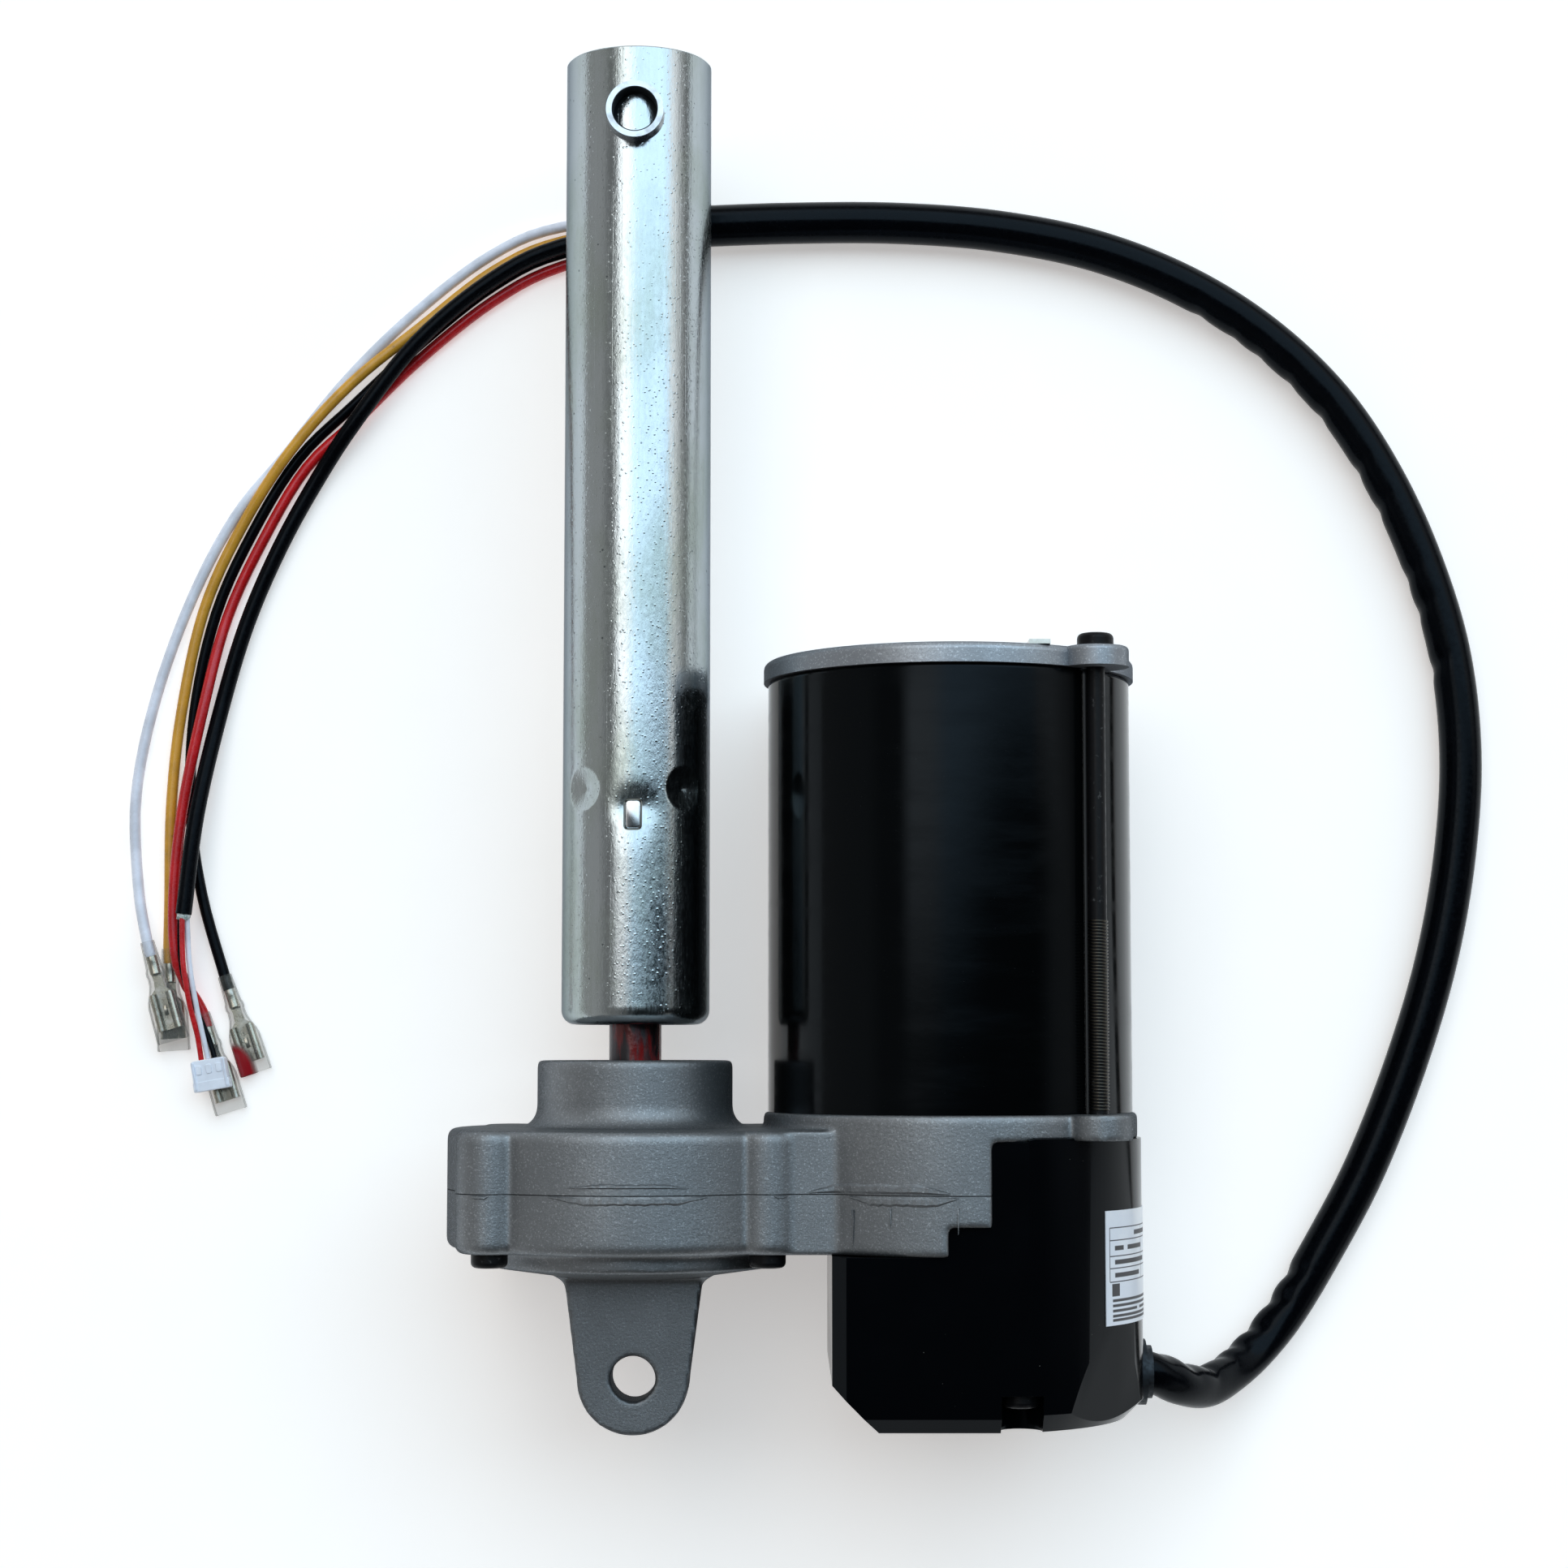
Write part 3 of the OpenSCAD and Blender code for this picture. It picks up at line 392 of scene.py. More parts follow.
def bushing_steel():
    """Plated steel, dull, with painted shade that darkens the inside of the bore."""
    p = Paint("bushing steel", (0.5, 0.53, 0.56), Metallic=1.0, Roughness=0.25)
    low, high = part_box("front_bushing")
    along = p.math("SUBTRACT", p.axis("Y"), (low.y + high.y) / 2)
    square = p.times(p.axis("X"), p.axis("X"))
    away = p.math("SQRT", p.math("MULTIPLY_ADD", along, along, square))
    # Painted shade: the colour is darkened to near black on the bore's wall within the given radii,
    # which are also rougher
    bore = p.between(away, *BORE_R, 1, 0)
    film = p.noise(400, 3)
    plated = p.mix(p.between(film, 0.4, 0.7), (0.5, 0.53, 0.56), (0.4, 0.43, 0.46))
    rough = p.between(p.math("ADD", bore, film), 0.4, 1.3, 0.2, 0.92)
    return p.finish(p.mix(bore, plated, (0.055, 0.065, 0.075)), rough, (film, 0.02, 0.3))


def steel(name, color, roughness=0.35, brushed=(1, 1, 1)):
    """Plain or plated steel with a fine grain, stretched along the axis it was worked in."""
    p = Paint(name, color, Metallic=1.0, Roughness=roughness)
    grain = p.noise(420, 4, 0.6, brushed)
    blotch = p.noise(150, 3)
    shade = p.mix(p.between(blotch, 0.35, 0.7), darker(color, 0.72), color)
    shade = p.mix(p.between(grain, 0.5, 0.8, 0, 0.5), shade, (0.9, 0.9, 0.9))
    rough = p.between(grain, 0.3, 0.7, roughness * 0.8, roughness * 1.35)
    return p.finish(shade, rough, (grain, 0.01, 0.4))


def black_oxide():
    """Blackened screws, worn to grey on their edges and faces."""
    black = (0.006, 0.006, 0.007)
    p = Paint("black oxide", black, Metallic=0.1, Roughness=0.35, Specular_IOR_Level=0.14)
    worn = p.noise(700, 4, 0.65)
    tone = p.mix(p.between(worn, 0.6, 0.8), black, (0.1, 0.1, 0.1))
    return p.finish(tone, p.between(worn, 0.3, 0.7, 0.28, 0.5), (worn, 0.02, 0.6))


def gloss_paint():
    """Black enamel on the motor can, with faint orange peel, rub marks and a little dust."""
    black = (0.0011, 0.0014, 0.0016)
    sheen = {"Specular_IOR_Level": 0.11, "Specular_Tint": BLUE_SHEEN}
    p = Paint("gloss black paint", black, Roughness=0.12, **sheen)
    peel = p.noise(260, 3, 0.5)
    rub = p.noise(1.0, 4, 0.6, (30, 160, 30))
    dust = p.between(p.cells(650), 0.0, 0.05, 1, 0)
    tone = p.mix(p.times(dust, 0.10), black, (0.4, 0.4, 0.4))
    return p.finish(tone, p.between(rub, 0.4, 0.75, 0.10, 0.2), (peel, 0.03, 0.25))


def moulded_black(name="moulded black plastic"):
    """Glossy black moulding with flow swirl, hairline scuffs and grains of dust."""
    black = (0.0013, 0.0016, 0.0022)
    p = Paint(name, black, Roughness=0.15, Specular_IOR_Level=0.07, Specular_Tint=BLUE_SHEEN)
    swirl = p.noise(35, 4, 0.6)
    scuff = p.noise(1.0, 3, 0.55, (1500, 60, 300))
    speck = p.between(p.cells(380), 0.0, 0.035, 1, 0)
    patch = p.between(p.noise(50, 2), 0.5, 0.65)
    dust = p.times(speck, patch)
    tone = p.mix(dust, black, (0.45, 0.43, 0.38))
    smooth = p.between(swirl, 0.35, 0.7, 0.12, 0.2)
    rough = p.math("ADD", smooth, p.times(dust, 0.5))
    scuffed = p.between(scuff, 0.6, 0.8)
    return p.finish(tone, rough, (swirl, 0.12, 0.1), (scuffed, 0.01, 0.4))


def vinyl(name, color, roughness=0.3, marks=False, gloss=0.5):
    """Extruded wire insulation: slight ripple, rub and tone change along its length."""
    p = Paint(name, color, Roughness=roughness, Specular_IOR_Level=gloss, Specular_Tint=BLUE_SHEEN)
    ripple = p.noise(140, 3, 0.5)
    rub = p.noise(900, 4, 0.6)
    dull = darker(color, 0.8)
    tone = p.mix(p.between(ripple, 0.35, 0.65), color, dull)
    if marks:
        ticks = p.between(p.cells(210), 0.0, 0.1, 1, 0)
        tone = p.mix(p.times(ticks, 0.45), tone, (0.12, 0.1, 0.06))
    tone = p.mix(p.between(rub, 0.55, 0.8, 0, 0.25), tone, dull)
    rough = p.between(rub, 0.35, 0.7, roughness * 0.8, roughness * 1.5)
    return p.finish(tone, rough, (ripple, 0.15, 0.25))


def clear_vinyl(name, stain=None):
    """Thin clear sleeve: see-through face on, smoky toward its edges, with a soft gloss."""
    color = (0.30, 0.31, 0.28)
    p = Paint(name, color, Roughness=0.1, Specular_IOR_Level=0.6)
    cloud = p.noise(220, 3, 0.5)
    tone = p.mix(p.between(cloud, 0.4, 0.7), color, darker(color, 0.8))
    edge = p.add("ShaderNodeLayerWeight", {"Blend": 0.35}).outputs["Facing"]
    cover = p.between(edge, 0.1, 0.9, 0.10, 0.86)
    if stain:
        mark = stain(p)
        tone = p.mix(mark, tone, (0.34, 0.004, 0.012))
        cover = p.math("MAXIMUM", cover, p.times(mark, 0.78))
    p.drive("Alpha", cover)
    return p.finish(tone, p.between(cloud, 0.3, 0.7, 0.06, 0.16), (cloud, 0.04, 0.3))


def moulded_pale(name, color, roughness=0.42):
    """Nylon or acetal moulding with faint mottling."""
    depth = {"Subsurface_Weight": 0.08, "Subsurface_Radius": (0.002, 0.002, 0.002)}
    p = Paint(name, color, Roughness=roughness, **depth)
    mottle = p.noise(250, 4, 0.6)
    tone = p.mix(p.between(mottle, 0.35, 0.7), darker(color, 0.9), color)
    rough = p.between(mottle, 0.3, 0.7, roughness * 0.8, roughness * 1.25)
    return p.finish(tone, rough, (mottle, 0.04, 0.4))


def greased_steel():
    """Dark steel with red grease lying in lengthwise smears."""
    p = Paint("greased screw", (0.08, 0.07, 0.07), Metallic=0.6, Roughness=0.3)
    smear = p.between(p.noise(1.0, 4, 0.6, (260, 60, 260)), 0.46, 0.62)
    p.drive("Metallic", p.between(smear, 0, 1, 0.85, 0.0))
    tone = p.mix(smear, (0.06, 0.055, 0.06), (0.22, 0.012, 0.012))
    return p.finish(tone, p.between(smear, 0, 1, 0.35, 0.12), (p.noise(400, 3), 0.15, 0.5))


def copper_wire():
    """Enamelled copper wound turn on turn."""
    p = Paint("enamelled copper", (0.72, 0.26, 0.1), Metallic=0.9, Roughness=0.3)
    colors = (0.36, 0.1, 0.04), (0.78, 0.32, 0.12)
    return p.follow(p.bands(420, 2), colors, (0.5, 0.25), 0.25, 0.8)


def laminated_steel():
    """Stacked core sheets."""
    p = Paint("laminated steel", (0.4, 0.4, 0.41), Metallic=0.9, Roughness=0.45)
    colors = (0.22, 0.22, 0.23), (0.5, 0.5, 0.51)
    return p.follow(p.bands(160), colors, (0.6, 0.4), 0.06, 0.7)


def circuit_board():
    """Green board with raised tracks."""
    p = Paint("circuit board", (0.02, 0.12, 0.05), Roughness=0.35)
    tracks = p.between(p.cells(260, "DISTANCE_TO_EDGE"), 0.02, 0.06, 1, 0)
    colors = (0.015, 0.1, 0.04), (0.04, 0.24, 0.1)
    return p.follow(tracks, colors, (0.38, 0.25), 0.03, 0.6)


# ---- cords
def crease_places(rng):
    """Distance along the sleeve, depth and lean of each crease."""
    creases = []
    for s, end, gap, depth in CREASES:
        while s < end:
            creases.append((s, rng.uniform(0.6, 1) * depth * MM, rng.uniform(-0.5, 0.5)))
            s += gap * rng.uniform(0.6, 1.4)
    return creases


def sleeve_mesh(path):
    """Loose vinyl tube that creases on the inside of its bend and crumples by the gland."""
    creases = crease_places(random.Random(4))
    rings, s, previous = [], 0.0, path[0]
    for place, (_, left, up) in zip(path, path_frames(path)):
        s += (place - previous).length
        previous = place
        slack = max(0.0, 1 - abs(s - CRUMPLE_AT) / CRUMPLE_REACH)
        ring = []
        for a in around(28):
            inner = max(0.0, cos(a)) ** 1.5
            r = SLEEVE_D / 2
            for at, depth, turn in creases:
                lean = (s - at - CREASE_LEAN * sin(a + turn)) / CREASE_WIDTH
                if abs(lean) < 2.5:
                    r -= depth * inner * exp(-lean * lean)
            r -= CRUMPLE_DEPTH * slack * (0.5 + 0.5 * sin(CRUMPLES * a + TWIST * s))
            ring.append(place + r * (cos(a) * left + sin(a) * up))
        rings.append(ring)
    return to_mesh(loft(rings), "sleeve")


def add_cords():
    """Adds the sleeve and the wires; returns each wire's piece, path, diameter, far end and end
    pieces.
    """
    vinyls = {
        "black": vinyl("black vinyl", (0.0018, 0.002, 0.003), 0.25, gloss=0.08),
        "white": vinyl("white vinyl", (0.86, 0.88, 0.98), 0.3),
        "yellow": vinyl("ochre vinyl", (0.74, 0.36, 0.035), 0.3, marks=True),
        "red": vinyl("red vinyl", (0.62, 0.012, 0.014), 0.25),
    }
    vinyls["sensor"] = vinyls["black"]
    sleeve_vinyl = vinyl("sleeve vinyl", (0.0014, 0.0018, 0.0028), 0.19, gloss=0.085)

    path = smooth_path(SLEEVE_ROUTE, 1.1 * MM, SLEEVE_LIES)
    sleeve = add_object("sleeve_tube", sleeve_mesh(path), sleeve_vinyl)
    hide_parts("cable_sleeve")

    wires = []
    for name, route in WIRE_ROUTES.items():
        tone, kind = name.split("_")
        diameter, far_end, ends = WIRE_KINDS[kind]
        wire, path = wire_curve(name + "_line", route, diameter, vinyls[tone])
        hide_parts(name)
        wires.append((wire, path, diameter, far_end, [end.format(tone) for end in ends]))
    return wires


WIRES = add_cords()


# ---- finish of the CAD nodes
CAST = cast_metal("blasted casting", (0.285, 0.30, 0.315))


def paint_node(name, material):
    NODES[name].data.materials.clear()
    NODES[name].data.materials.append(material)


def finish_nodes():
    ground = steel("ground steel", (0.55, 0.55, 0.56), 0.3, (1, 6, 1))
    tinned = steel("tinned brass", (0.66, 0.63, 0.57), 0.28)
    plated = steel("plated steel", (0.62, 0.67, 0.73), 0.25)
    finishes = {
        CAST: ("upper_housing", "lower_housing"),
        cast_metal("end cap casting", (0.40, 0.425, 0.46), 0.6): ("motor_end_cap",),
        plated: ("gear_lock_nut", "nut_key", "nut_rivets", "board_screws"),
        bushing_steel(): ("front_bushing",),
        zinc_plate(): ("outer_tube",),
        ground: ("motor_shaft", "idler_shaft", "idler_pinion", "motor_bearings",
                 "thrust_bearing", "spindle_bearing"),
        tinned: ("earth_tab", *(tone + "_terminal" for tone in HEADINGS)),
        black_oxide(): ("housing_screws", "through_bolts", "cover_screws"),
        gloss_paint(): ("motor_can",),
        moulded_black(): ("sensor_cover", "magnet_wheel"),
        moulded_pale("natural nylon", (0.82, 0.80, 0.72)): ("idler_gear", "drive_nut"),
        moulded_pale("connector nylon", (0.78, 0.80, 0.88), 0.35): ("sensor_connector",),
        vinyl("moulded rubber", (0.012, 0.012, 0.013), 0.5): ("spindle_seal", "cable_gland"),
        steel("bronze", (0.55, 0.33, 0.12), 0.32): ("spindle_gear",),
        greased_steel(): ("lead_screw",),
        copper_wire(): ("stator_windings",),
        laminated_steel(): ("stator_core", "rotor_core"),
        circuit_board(): ("sensor_board",),
        clear_vinyl("clear vinyl"): [tone + "_boot" for tone in HEADINGS],
    }
    for material, names in finishes.items():
        for name in names:
            paint_node(name, material)


finish_nodes()


# ---- spindle tube
RIVET_Y, RIVET_TURN, RIVET_R = 131 * MM, radians(43), 5 * MM
STAKE_DEPTH, NUB_DEPTH, NUB_SHARE = 1.15 * MM, 0.18 * MM, 0.16
KEY_Y = 125 * MM
DISH_X, DISH_UP, DISH_WIDE, DISH_LONG = 0.1 * MM, 1.6 * MM, 5.2 * MM, 4.6 * MM
DISH_DEPTH, DISH_FALL = 0.75 * MM, 1.6
LIP_T, LIP_R, LIP_BEND, WALL = 2 * MM, 13 * MM, 3.2 * MM, 1.5 * MM
EDGE = 0.3 * MM
SLOT_ROUNDING = 0.55  # corner radius as a share of half the width


def tube_dent(turn, y):
    """How far the wall is pressed in there: two conical stakes and a dish round the key slot."""
    depth = 0.0
    for side in (-1, 1):
        d = hypot((turn - side * RIVET_TURN) * TUBE_R, y - RIVET_Y) / RIVET_R
        if d < 1:
            depth += STAKE_DEPTH * (1 - d**1.6)
            depth += NUB_DEPTH * exp(-((d / NUB_SHARE) ** 2))
    x, up = turn * TUBE_R, y - KEY_Y
    dish = ((x - DISH_X) / DISH_WIDE) ** 2 + ((up - DISH_UP) / DISH_LONG) ** 2
    return depth + DISH_DEPTH * exp(-dish * DISH_FALL)


def refined(low, high, coarse, fine, spans):
    """Steps from low to high, fine inside the spans and coarse elsewhere."""
    values, v = [], low
    while v < high - fine / 2:
        values.append(v)
        v += fine if any(a <= v <= b for a, b in spans) else coarse
    return values


def tube_mesh():
    """Drawn tube with a rounded lip at its lower end, fine where it is dented."""
    low, high = TUBE_LOW.y, TUBE_HIGH.y
    turns = refined(
        -pi, pi, radians(4), radians(1.1),
        [(side * RIVET_TURN - 0.35, side * RIVET_TURN + 0.35) for side in (-1, 1)]
        + [(-0.45, 0.45)],
    )
    heights = refined(
        low + 4 * MM, high - 1 * MM, 4 * MM, 0.35 * MM, [(KEY_Y - 6 * MM, RIVET_Y + 6 * MM)]
    )
    bend = [radians(a) for a in range(-90, 1, 15)]
    lip = LIP_BEND
    outside = [(TUBE_R - lip + lip * cos(a), low + lip + lip * sin(a)) for a in bend]
    outside += [(TUBE_R, y) for y in heights]
    outside += [(TUBE_R, high - EDGE), (TUBE_R - EDGE, high)]
    inner = TUBE_R - WALL
    inside = [(inner + EDGE, high), (inner, high - EDGE)]
    inside += [(inner, y) for y in reversed(heights)]
    inside += [(inner, low + LIP_T), (LIP_R, low + LIP_T), (LIP_R, low + 0.4 * MM)]
    rings = []
    for radius, y in outside + inside:
        ring = []
        for turn in turns:
            r = radius - (tube_dent(turn, y) if radius > LIP_R + WALL else 0)
            ring.append((r * sin(turn), y, r * cos(turn)))
        rings.append(ring)
    rings.append(rings[0])
    bm = loft(rings, caps=False)
    bmesh.ops.remove_doubles(bm, verts=bm.verts, dist=1e-6)
    bmesh.ops.recalc_face_normals(bm, faces=bm.faces)
    return to_mesh(bm, "tube")


def rounded_slot(width, length, bottom, top, edge):
    """Rings of a block with round ends along Y and an eased top edge, centred on the key."""
    rings = []
    for z, inset in ((bottom, 0), (top - edge, 0), (top - 0.3 * edge, 0.3 * edge), (top, edge)):
        ring = []
        r = width / 2 * SLOT_ROUNDING
        for a in around(32):
            x = (width / 2 - r) * (1 if cos(a) > 0 else -1) + (r - inset) * cos(a)
            y = (length / 2 - r) * (1 if sin(a) > 0 else -1) + (r - inset) * sin(a)
            ring.append((x, KEY_Y + y, z))
        rings.append(ring)
    return rings


def apply_modifiers(obj):
    """Puts the evaluated mesh in place of the object's own and drops its modifiers."""
    graph = bpy.context.evaluated_depsgraph_get()
    mesh = bpy.data.meshes.new_from_object(obj.evaluated_get(graph))
    obj.modifiers.clear()
    obj.data = mesh
    return mesh


def add_slotted_tube():
    """The outer tube with the key's slot cut through its wall."""
    tube = add_object("tube_shell", tube_mesh(), zinc_plate(), "tube")
    rings = rounded_slot(4.2 * MM, 7.2 * MM, 10 * MM, 20 * MM, 0)
    cutter = new_object("slot_cutter", to_mesh(loft(rings), "slot_cutter"))
    cut = tube.modifiers.new("slot", "BOOLEAN")
    cut.operation, cut.object, cut.solver = "DIFFERENCE", cutter, "EXACT"
    apply_modifiers(tube)
    bpy.data.objects.remove(cutter)
    tube.data.shade_smooth()
    tube.data.set_sharp_from_angle(angle=radians(28))
    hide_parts("outer_tube")


def stake_mesh(side):
    """Head of the stake that holds the nut, under one of the tube's conical dents."""
    out = Vector((sin(side * RIVET_TURN), 0, cos(side * RIVET_TURN)))
    across = Vector((out.z, 0, -out.x))
    rings = []
    for r, depth in ((4.0, 2.8), (4.6, 2.5), (4.6, 1.75), (4.1, 1.6)):
        at = (TUBE_R - depth * MM - WALL * 0.1) * out + Vector((0, RIVET_Y, 0))
        rings.append([
            at + r * MM * (cos(a) * across + Vector((0, sin(a), 0)))
            for a in around(32)
        ])
    return loft(rings)


def add_tube():
    add_slotted_tube()
    bright = steel("key steel", (0.8, 0.83, 0.86), 0.22)
    rings = rounded_slot(3.6 * MM, 6.4 * MM, 13.5 * MM, 16.1 * MM, 0.35 * MM)
    key = add_object("key_block", to_mesh(loft(rings), "key"), bright, "tube", sharp=50)
    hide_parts("nut_key")
    heads = joined([stake_mesh(side) for side in (-1, 1)], "stakes")
    stakes = add_object("nut_stakes", heads, bright, "tube")
    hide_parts("nut_rivets")


add_tube()


# ---- screw threads
def thread_mesh(x, z, core, outer, pitch, low, high, sides=24):
    """A rod along Y with a helical ridge."""
    profile = ((0.0, core), (0.3, core), (0.45, outer), (0.8, outer), (0.95, core))
    bm = bmesh.new()
    rows = []
    for turn in range(int((high - low) / pitch)):
        for share, r in profile:
            row = []
            for k in range(sides + 1):
                a = tau * k / sides
                y = min(low + pitch * (turn + share + k / sides), high)
                row.append(bm.verts.new((x + r * cos(a), y, z + r * sin(a))))
            rows.append(row)
    for a, b in zip(rows, rows[1:]):
        for i in range(sides):
            if any((a[k].co - b[k].co).length > 1e-7 for k in (i, i + 1)):
                bm.faces.new((a[i], b[i], b[i + 1], a[i + 1]))
    bmesh.ops.remove_doubles(bm, verts=bm.verts, dist=2e-6)
    bmesh.ops.holes_fill(bm, edges=[e for e in bm.edges if e.is_boundary])
    bmesh.ops.recalc_face_normals(bm, faces=bm.faces)
    return bm


def rod(profile, sides=32):
    """A solid of revolution round the frame's Y axis; each row is (radius, height)."""
    return loft([
        [(r * cos(a), y, r * sin(a)) for a in around(sides)] for r, y in profile
    ])


def add_lead_screw():
    low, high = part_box("lead_screw")
    neck = TUBE_LOW.y + 1.5 * MM
    neck_r, end_r = 4.9 * MM, 4.8 * MM
    collar_r, collar_y = 5.9 * MM, low.y + 6 * MM
    parts = [
        rod([(3.8 * MM, low.y), (neck_r, low.y + MM), (neck_r, collar_y),
             (collar_r, collar_y + 0.4 * MM), (collar_r, neck), (neck_r, neck + MM)]),
        thread_mesh(0, 0, neck_r, 5.85 * MM, 3 * MM, neck, high.y - MM),
        rod([(end_r, high.y - 4.2 * MM), (end_r, high.y - 0.6 * MM), (4.2 * MM, high.y)]),
    ]
    screw = add_object("screw_thread", joined(parts, "screw"), greased_steel(), "spindle", sharp=35)
    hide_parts("lead_screw")


add_lead_screw()


# ---- castings
PARTING_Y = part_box("upper_housing")[0].y
VOXEL, SEAM = 0.6 * MM, 0.1 * MM
COVER_EASE, COVER_ANGLE = 0.7 * MM, radians(15)


def copy_of(*names):
    """One object that holds copies of the CAD meshes of these nodes."""
    bm = bmesh.new()
    for name in names:
        bm.from_mesh(NODES[name].data)
    bmesh.ops.remove_doubles(bm, verts=bm.verts, dist=1e-6)
    return new_object("copy", to_mesh(bm, "copy"))


def softened(obj, voxel, rounds, keep):
    """Remeshes a copy so that its corners become the soft radii of a casting."""
    remesh = obj.modifiers.new("remesh", "REMESH")
    remesh.mode, remesh.voxel_size = "VOXEL", voxel
    smooth = obj.modifiers.new("smooth", "SMOOTH")
    smooth.factor, smooth.iterations = 0.5, rounds
    thin = obj.modifiers.new("thin", "DECIMATE")
    thin.ratio = keep
    return apply_modifiers(obj)


def half_of(mesh, cut, upward, name):
    """The part of a closed mesh on one side of a height, closed again at the cut."""
    bm = bmesh.new()
    bm.from_mesh(mesh)
    geom = [*bm.verts, *bm.edges, *bm.faces]
    away = (0, -1 if upward else 1, 0)
    done = bmesh.ops.bisect_plane(
        bm, geom=geom, plane_co=(0, cut, 0), plane_no=away, clear_outer=True
    )
    rim = [e for e in done["geom_cut"] if isinstance(e, bmesh.types.BMEdge)]
    bmesh.ops.triangle_fill(bm, edges=rim, use_beauty=True, normal=away)
    bmesh.ops.recalc_face_normals(bm, faces=bm.faces)
    return to_mesh(bm, name)


def add_castings():
    """Both housings, softened as one body and parted again at the seam between them."""
    both = copy_of("upper_housing", "lower_housing")
    whole = softened(both, VOXEL, rounds=5, keep=0.35)
    for node, upward in (("upper_housing", True), ("lower_housing", False)):
        cut = PARTING_Y + (SEAM if upward else -SEAM)
        half = half_of(whole, cut, upward, node)
        piece = add_object(node + "_casting", half, CAST, sharp=50)
        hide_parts(node)
    bpy.data.objects.remove(both)


add_castings()


def add_cover():
    """The cover with its corners eased and its flat faces kept flat in shading."""
    obj = copy_of("sensor_cover")
    bm = bmesh.new()
    bm.from_mesh(obj.data)
    bmesh.ops.remove_doubles(bm, verts=bm.verts, dist=2e-5)
    bmesh.ops.dissolve_limit(
        bm, angle_limit=radians(1), verts=bm.verts, edges=bm.edges, delimit={"NORMAL"}
    )
    bm.to_mesh(obj.data)
    bm.free()
    ease = obj.modifiers.new("ease", "BEVEL")
    ease.width, ease.segments, ease.angle_limit = COVER_EASE, 3, COVER_ANGLE
    apply_modifiers(obj)
    obj.data.shade_smooth()
    obj.data.set_sharp_from_angle(angle=radians(38))
    weigh = obj.modifiers.new("weigh", "WEIGHTED_NORMAL")
    weigh.keep_sharp, weigh.weight = True, 100
    mesh = apply_modifiers(obj)
    bpy.data.objects.remove(obj)
    cover = add_object("sensor_cover_eased", mesh, moulded_black(), smooth=False)
    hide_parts("sensor_cover")


def add_cover_tab():
    """Small catch that stands above the cover's upper edge, over the casting."""
    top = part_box("sensor_cover")[1].y
    foot, inner, outer = top - 0.4 * MM, 42.1 * MM, 42.8 * MM
    rings = []
    for turn in range(50, 71, 2):
        a = radians(turn)
        ends = 0.35 * MM if turn in (50, 70) else 0
        high, low = top + 0.9 * MM - ends, top + 0.6 * MM - ends
        section = (inner, foot), (outer, foot), (outer, low), (inner, high)
        rings.append([(MOTOR_X + r * cos(a), y, r * sin(a)) for r, y in section])
    black = moulded_black("tab plastic")
    tab = add_object("cover_tab", to_mesh(loft(rings), "tab"), black, smooth=False)


add_cover()
add_cover_tab()


# ---- casting flash
ABOVE_ALL = 80 * MM
FLASH_STEP, RAGGED = 0.9, 0.18  # in mm
# Which casting; along X from and to, straight edge, ragged edge, height, in mm
FLASH = (
    ("upper", -12.5, 13.2, 43.5, 44.5, 0.42), ("lower", -16.5, 17.4, 41.8, 40.0, 0.34),
    ("upper", 39.0, 68.7, 42.3, 44.4, 0.45), ("lower", 47.5, 70.5, 41.7, 39.7, 0.36),
    ("lower", -33.5, -29.5, 41.8, 41.0, 0.4), ("lower", 31.5, 34.5, 41.8, 41.0, 0.4),
    ("lower", 48.0, 48.5, 39.0, 31.0, 0.3), ("lower", 56.0, 56.4, 39.4, 35.0, 0.25),
    ("lower", 70.2, 70.7, 39.6, 34.0, 0.25),
)


def flash_ledge(rng, casting, x0, x1, far, free, proud):
    """A thin ragged ledge on a casting; far is its straight edge and free its ragged one."""
    steps = max(3, round((x1 - x0) / FLASH_STEP))
    rings = []
    for i in range(steps + 1):
        t = i / steps
        x = (x0 + (x1 - x0) * t) * MM
        ease = 0.15 + 0.85 * min(1, 5 * t, 5 * (1 - t))
        edge = far + (free + rng.uniform(-RAGGED, RAGGED) - far) * ease
        low_y, high_y = sorted((far * MM, edge * MM))
        high_y = max(high_y, low_y + 0.12 * MM)
        above = Vector((x, (low_y + high_y) / 2, ABOVE_ALL))
        z = casting.ray_cast(above, Vector((0, 0, -1)))[1].z
        top = z + proud * MM * rng.uniform(0.75, 1.1)
        slope = 0.25 * (high_y - low_y)
        rings.append([
            (x, low_y, z - 0.5 * MM), (x, high_y, z - 0.5 * MM), (x, high_y, z),
            (x, high_y - slope, top), (x, low_y + slope, top), (x, low_y, z),
        ])
    return loft(rings)


def add_flash():
    """Thin ledges left along the parting line where the die halves met."""
    rng = random.Random(7)
    parts = []
    for half, *ledge in FLASH:
        casting = bpy.data.objects[half + "_housing_casting"]
        parts.append(flash_ledge(rng, casting, *ledge))
    add_object("casting_flash", joined(parts, "flash"), CAST, smooth=False)


bpy.context.view_layer.update()
add_flash()


# ---- bolts
def thread_steel():
    """Dark steel of the bolts' rolled threads, with a trace of oil."""
    p = Paint("rolled thread", (0.055, 0.05, 0.042), Metallic=1.0, Roughness=0.3)
    oil = p.noise(220, 3)
    tone = p.mix(oil, (0.045, 0.042, 0.036), (0.08, 0.073, 0.06))
    return p.finish(tone, p.between(oil, 0.3, 0.7, 0.24, 0.36), (p.noise(900, 2), 0.01, 0.4))


BOLT_R, CREST_R, BOLT_PITCH, BOLT_INSET = 1.9 * MM, 2.25 * MM, 0.7 * MM, 4 * MM
BOLT_LOW_Y, BOLT_HIGH_Y = 59.5 * MM, 101 * MM  # where the threads show


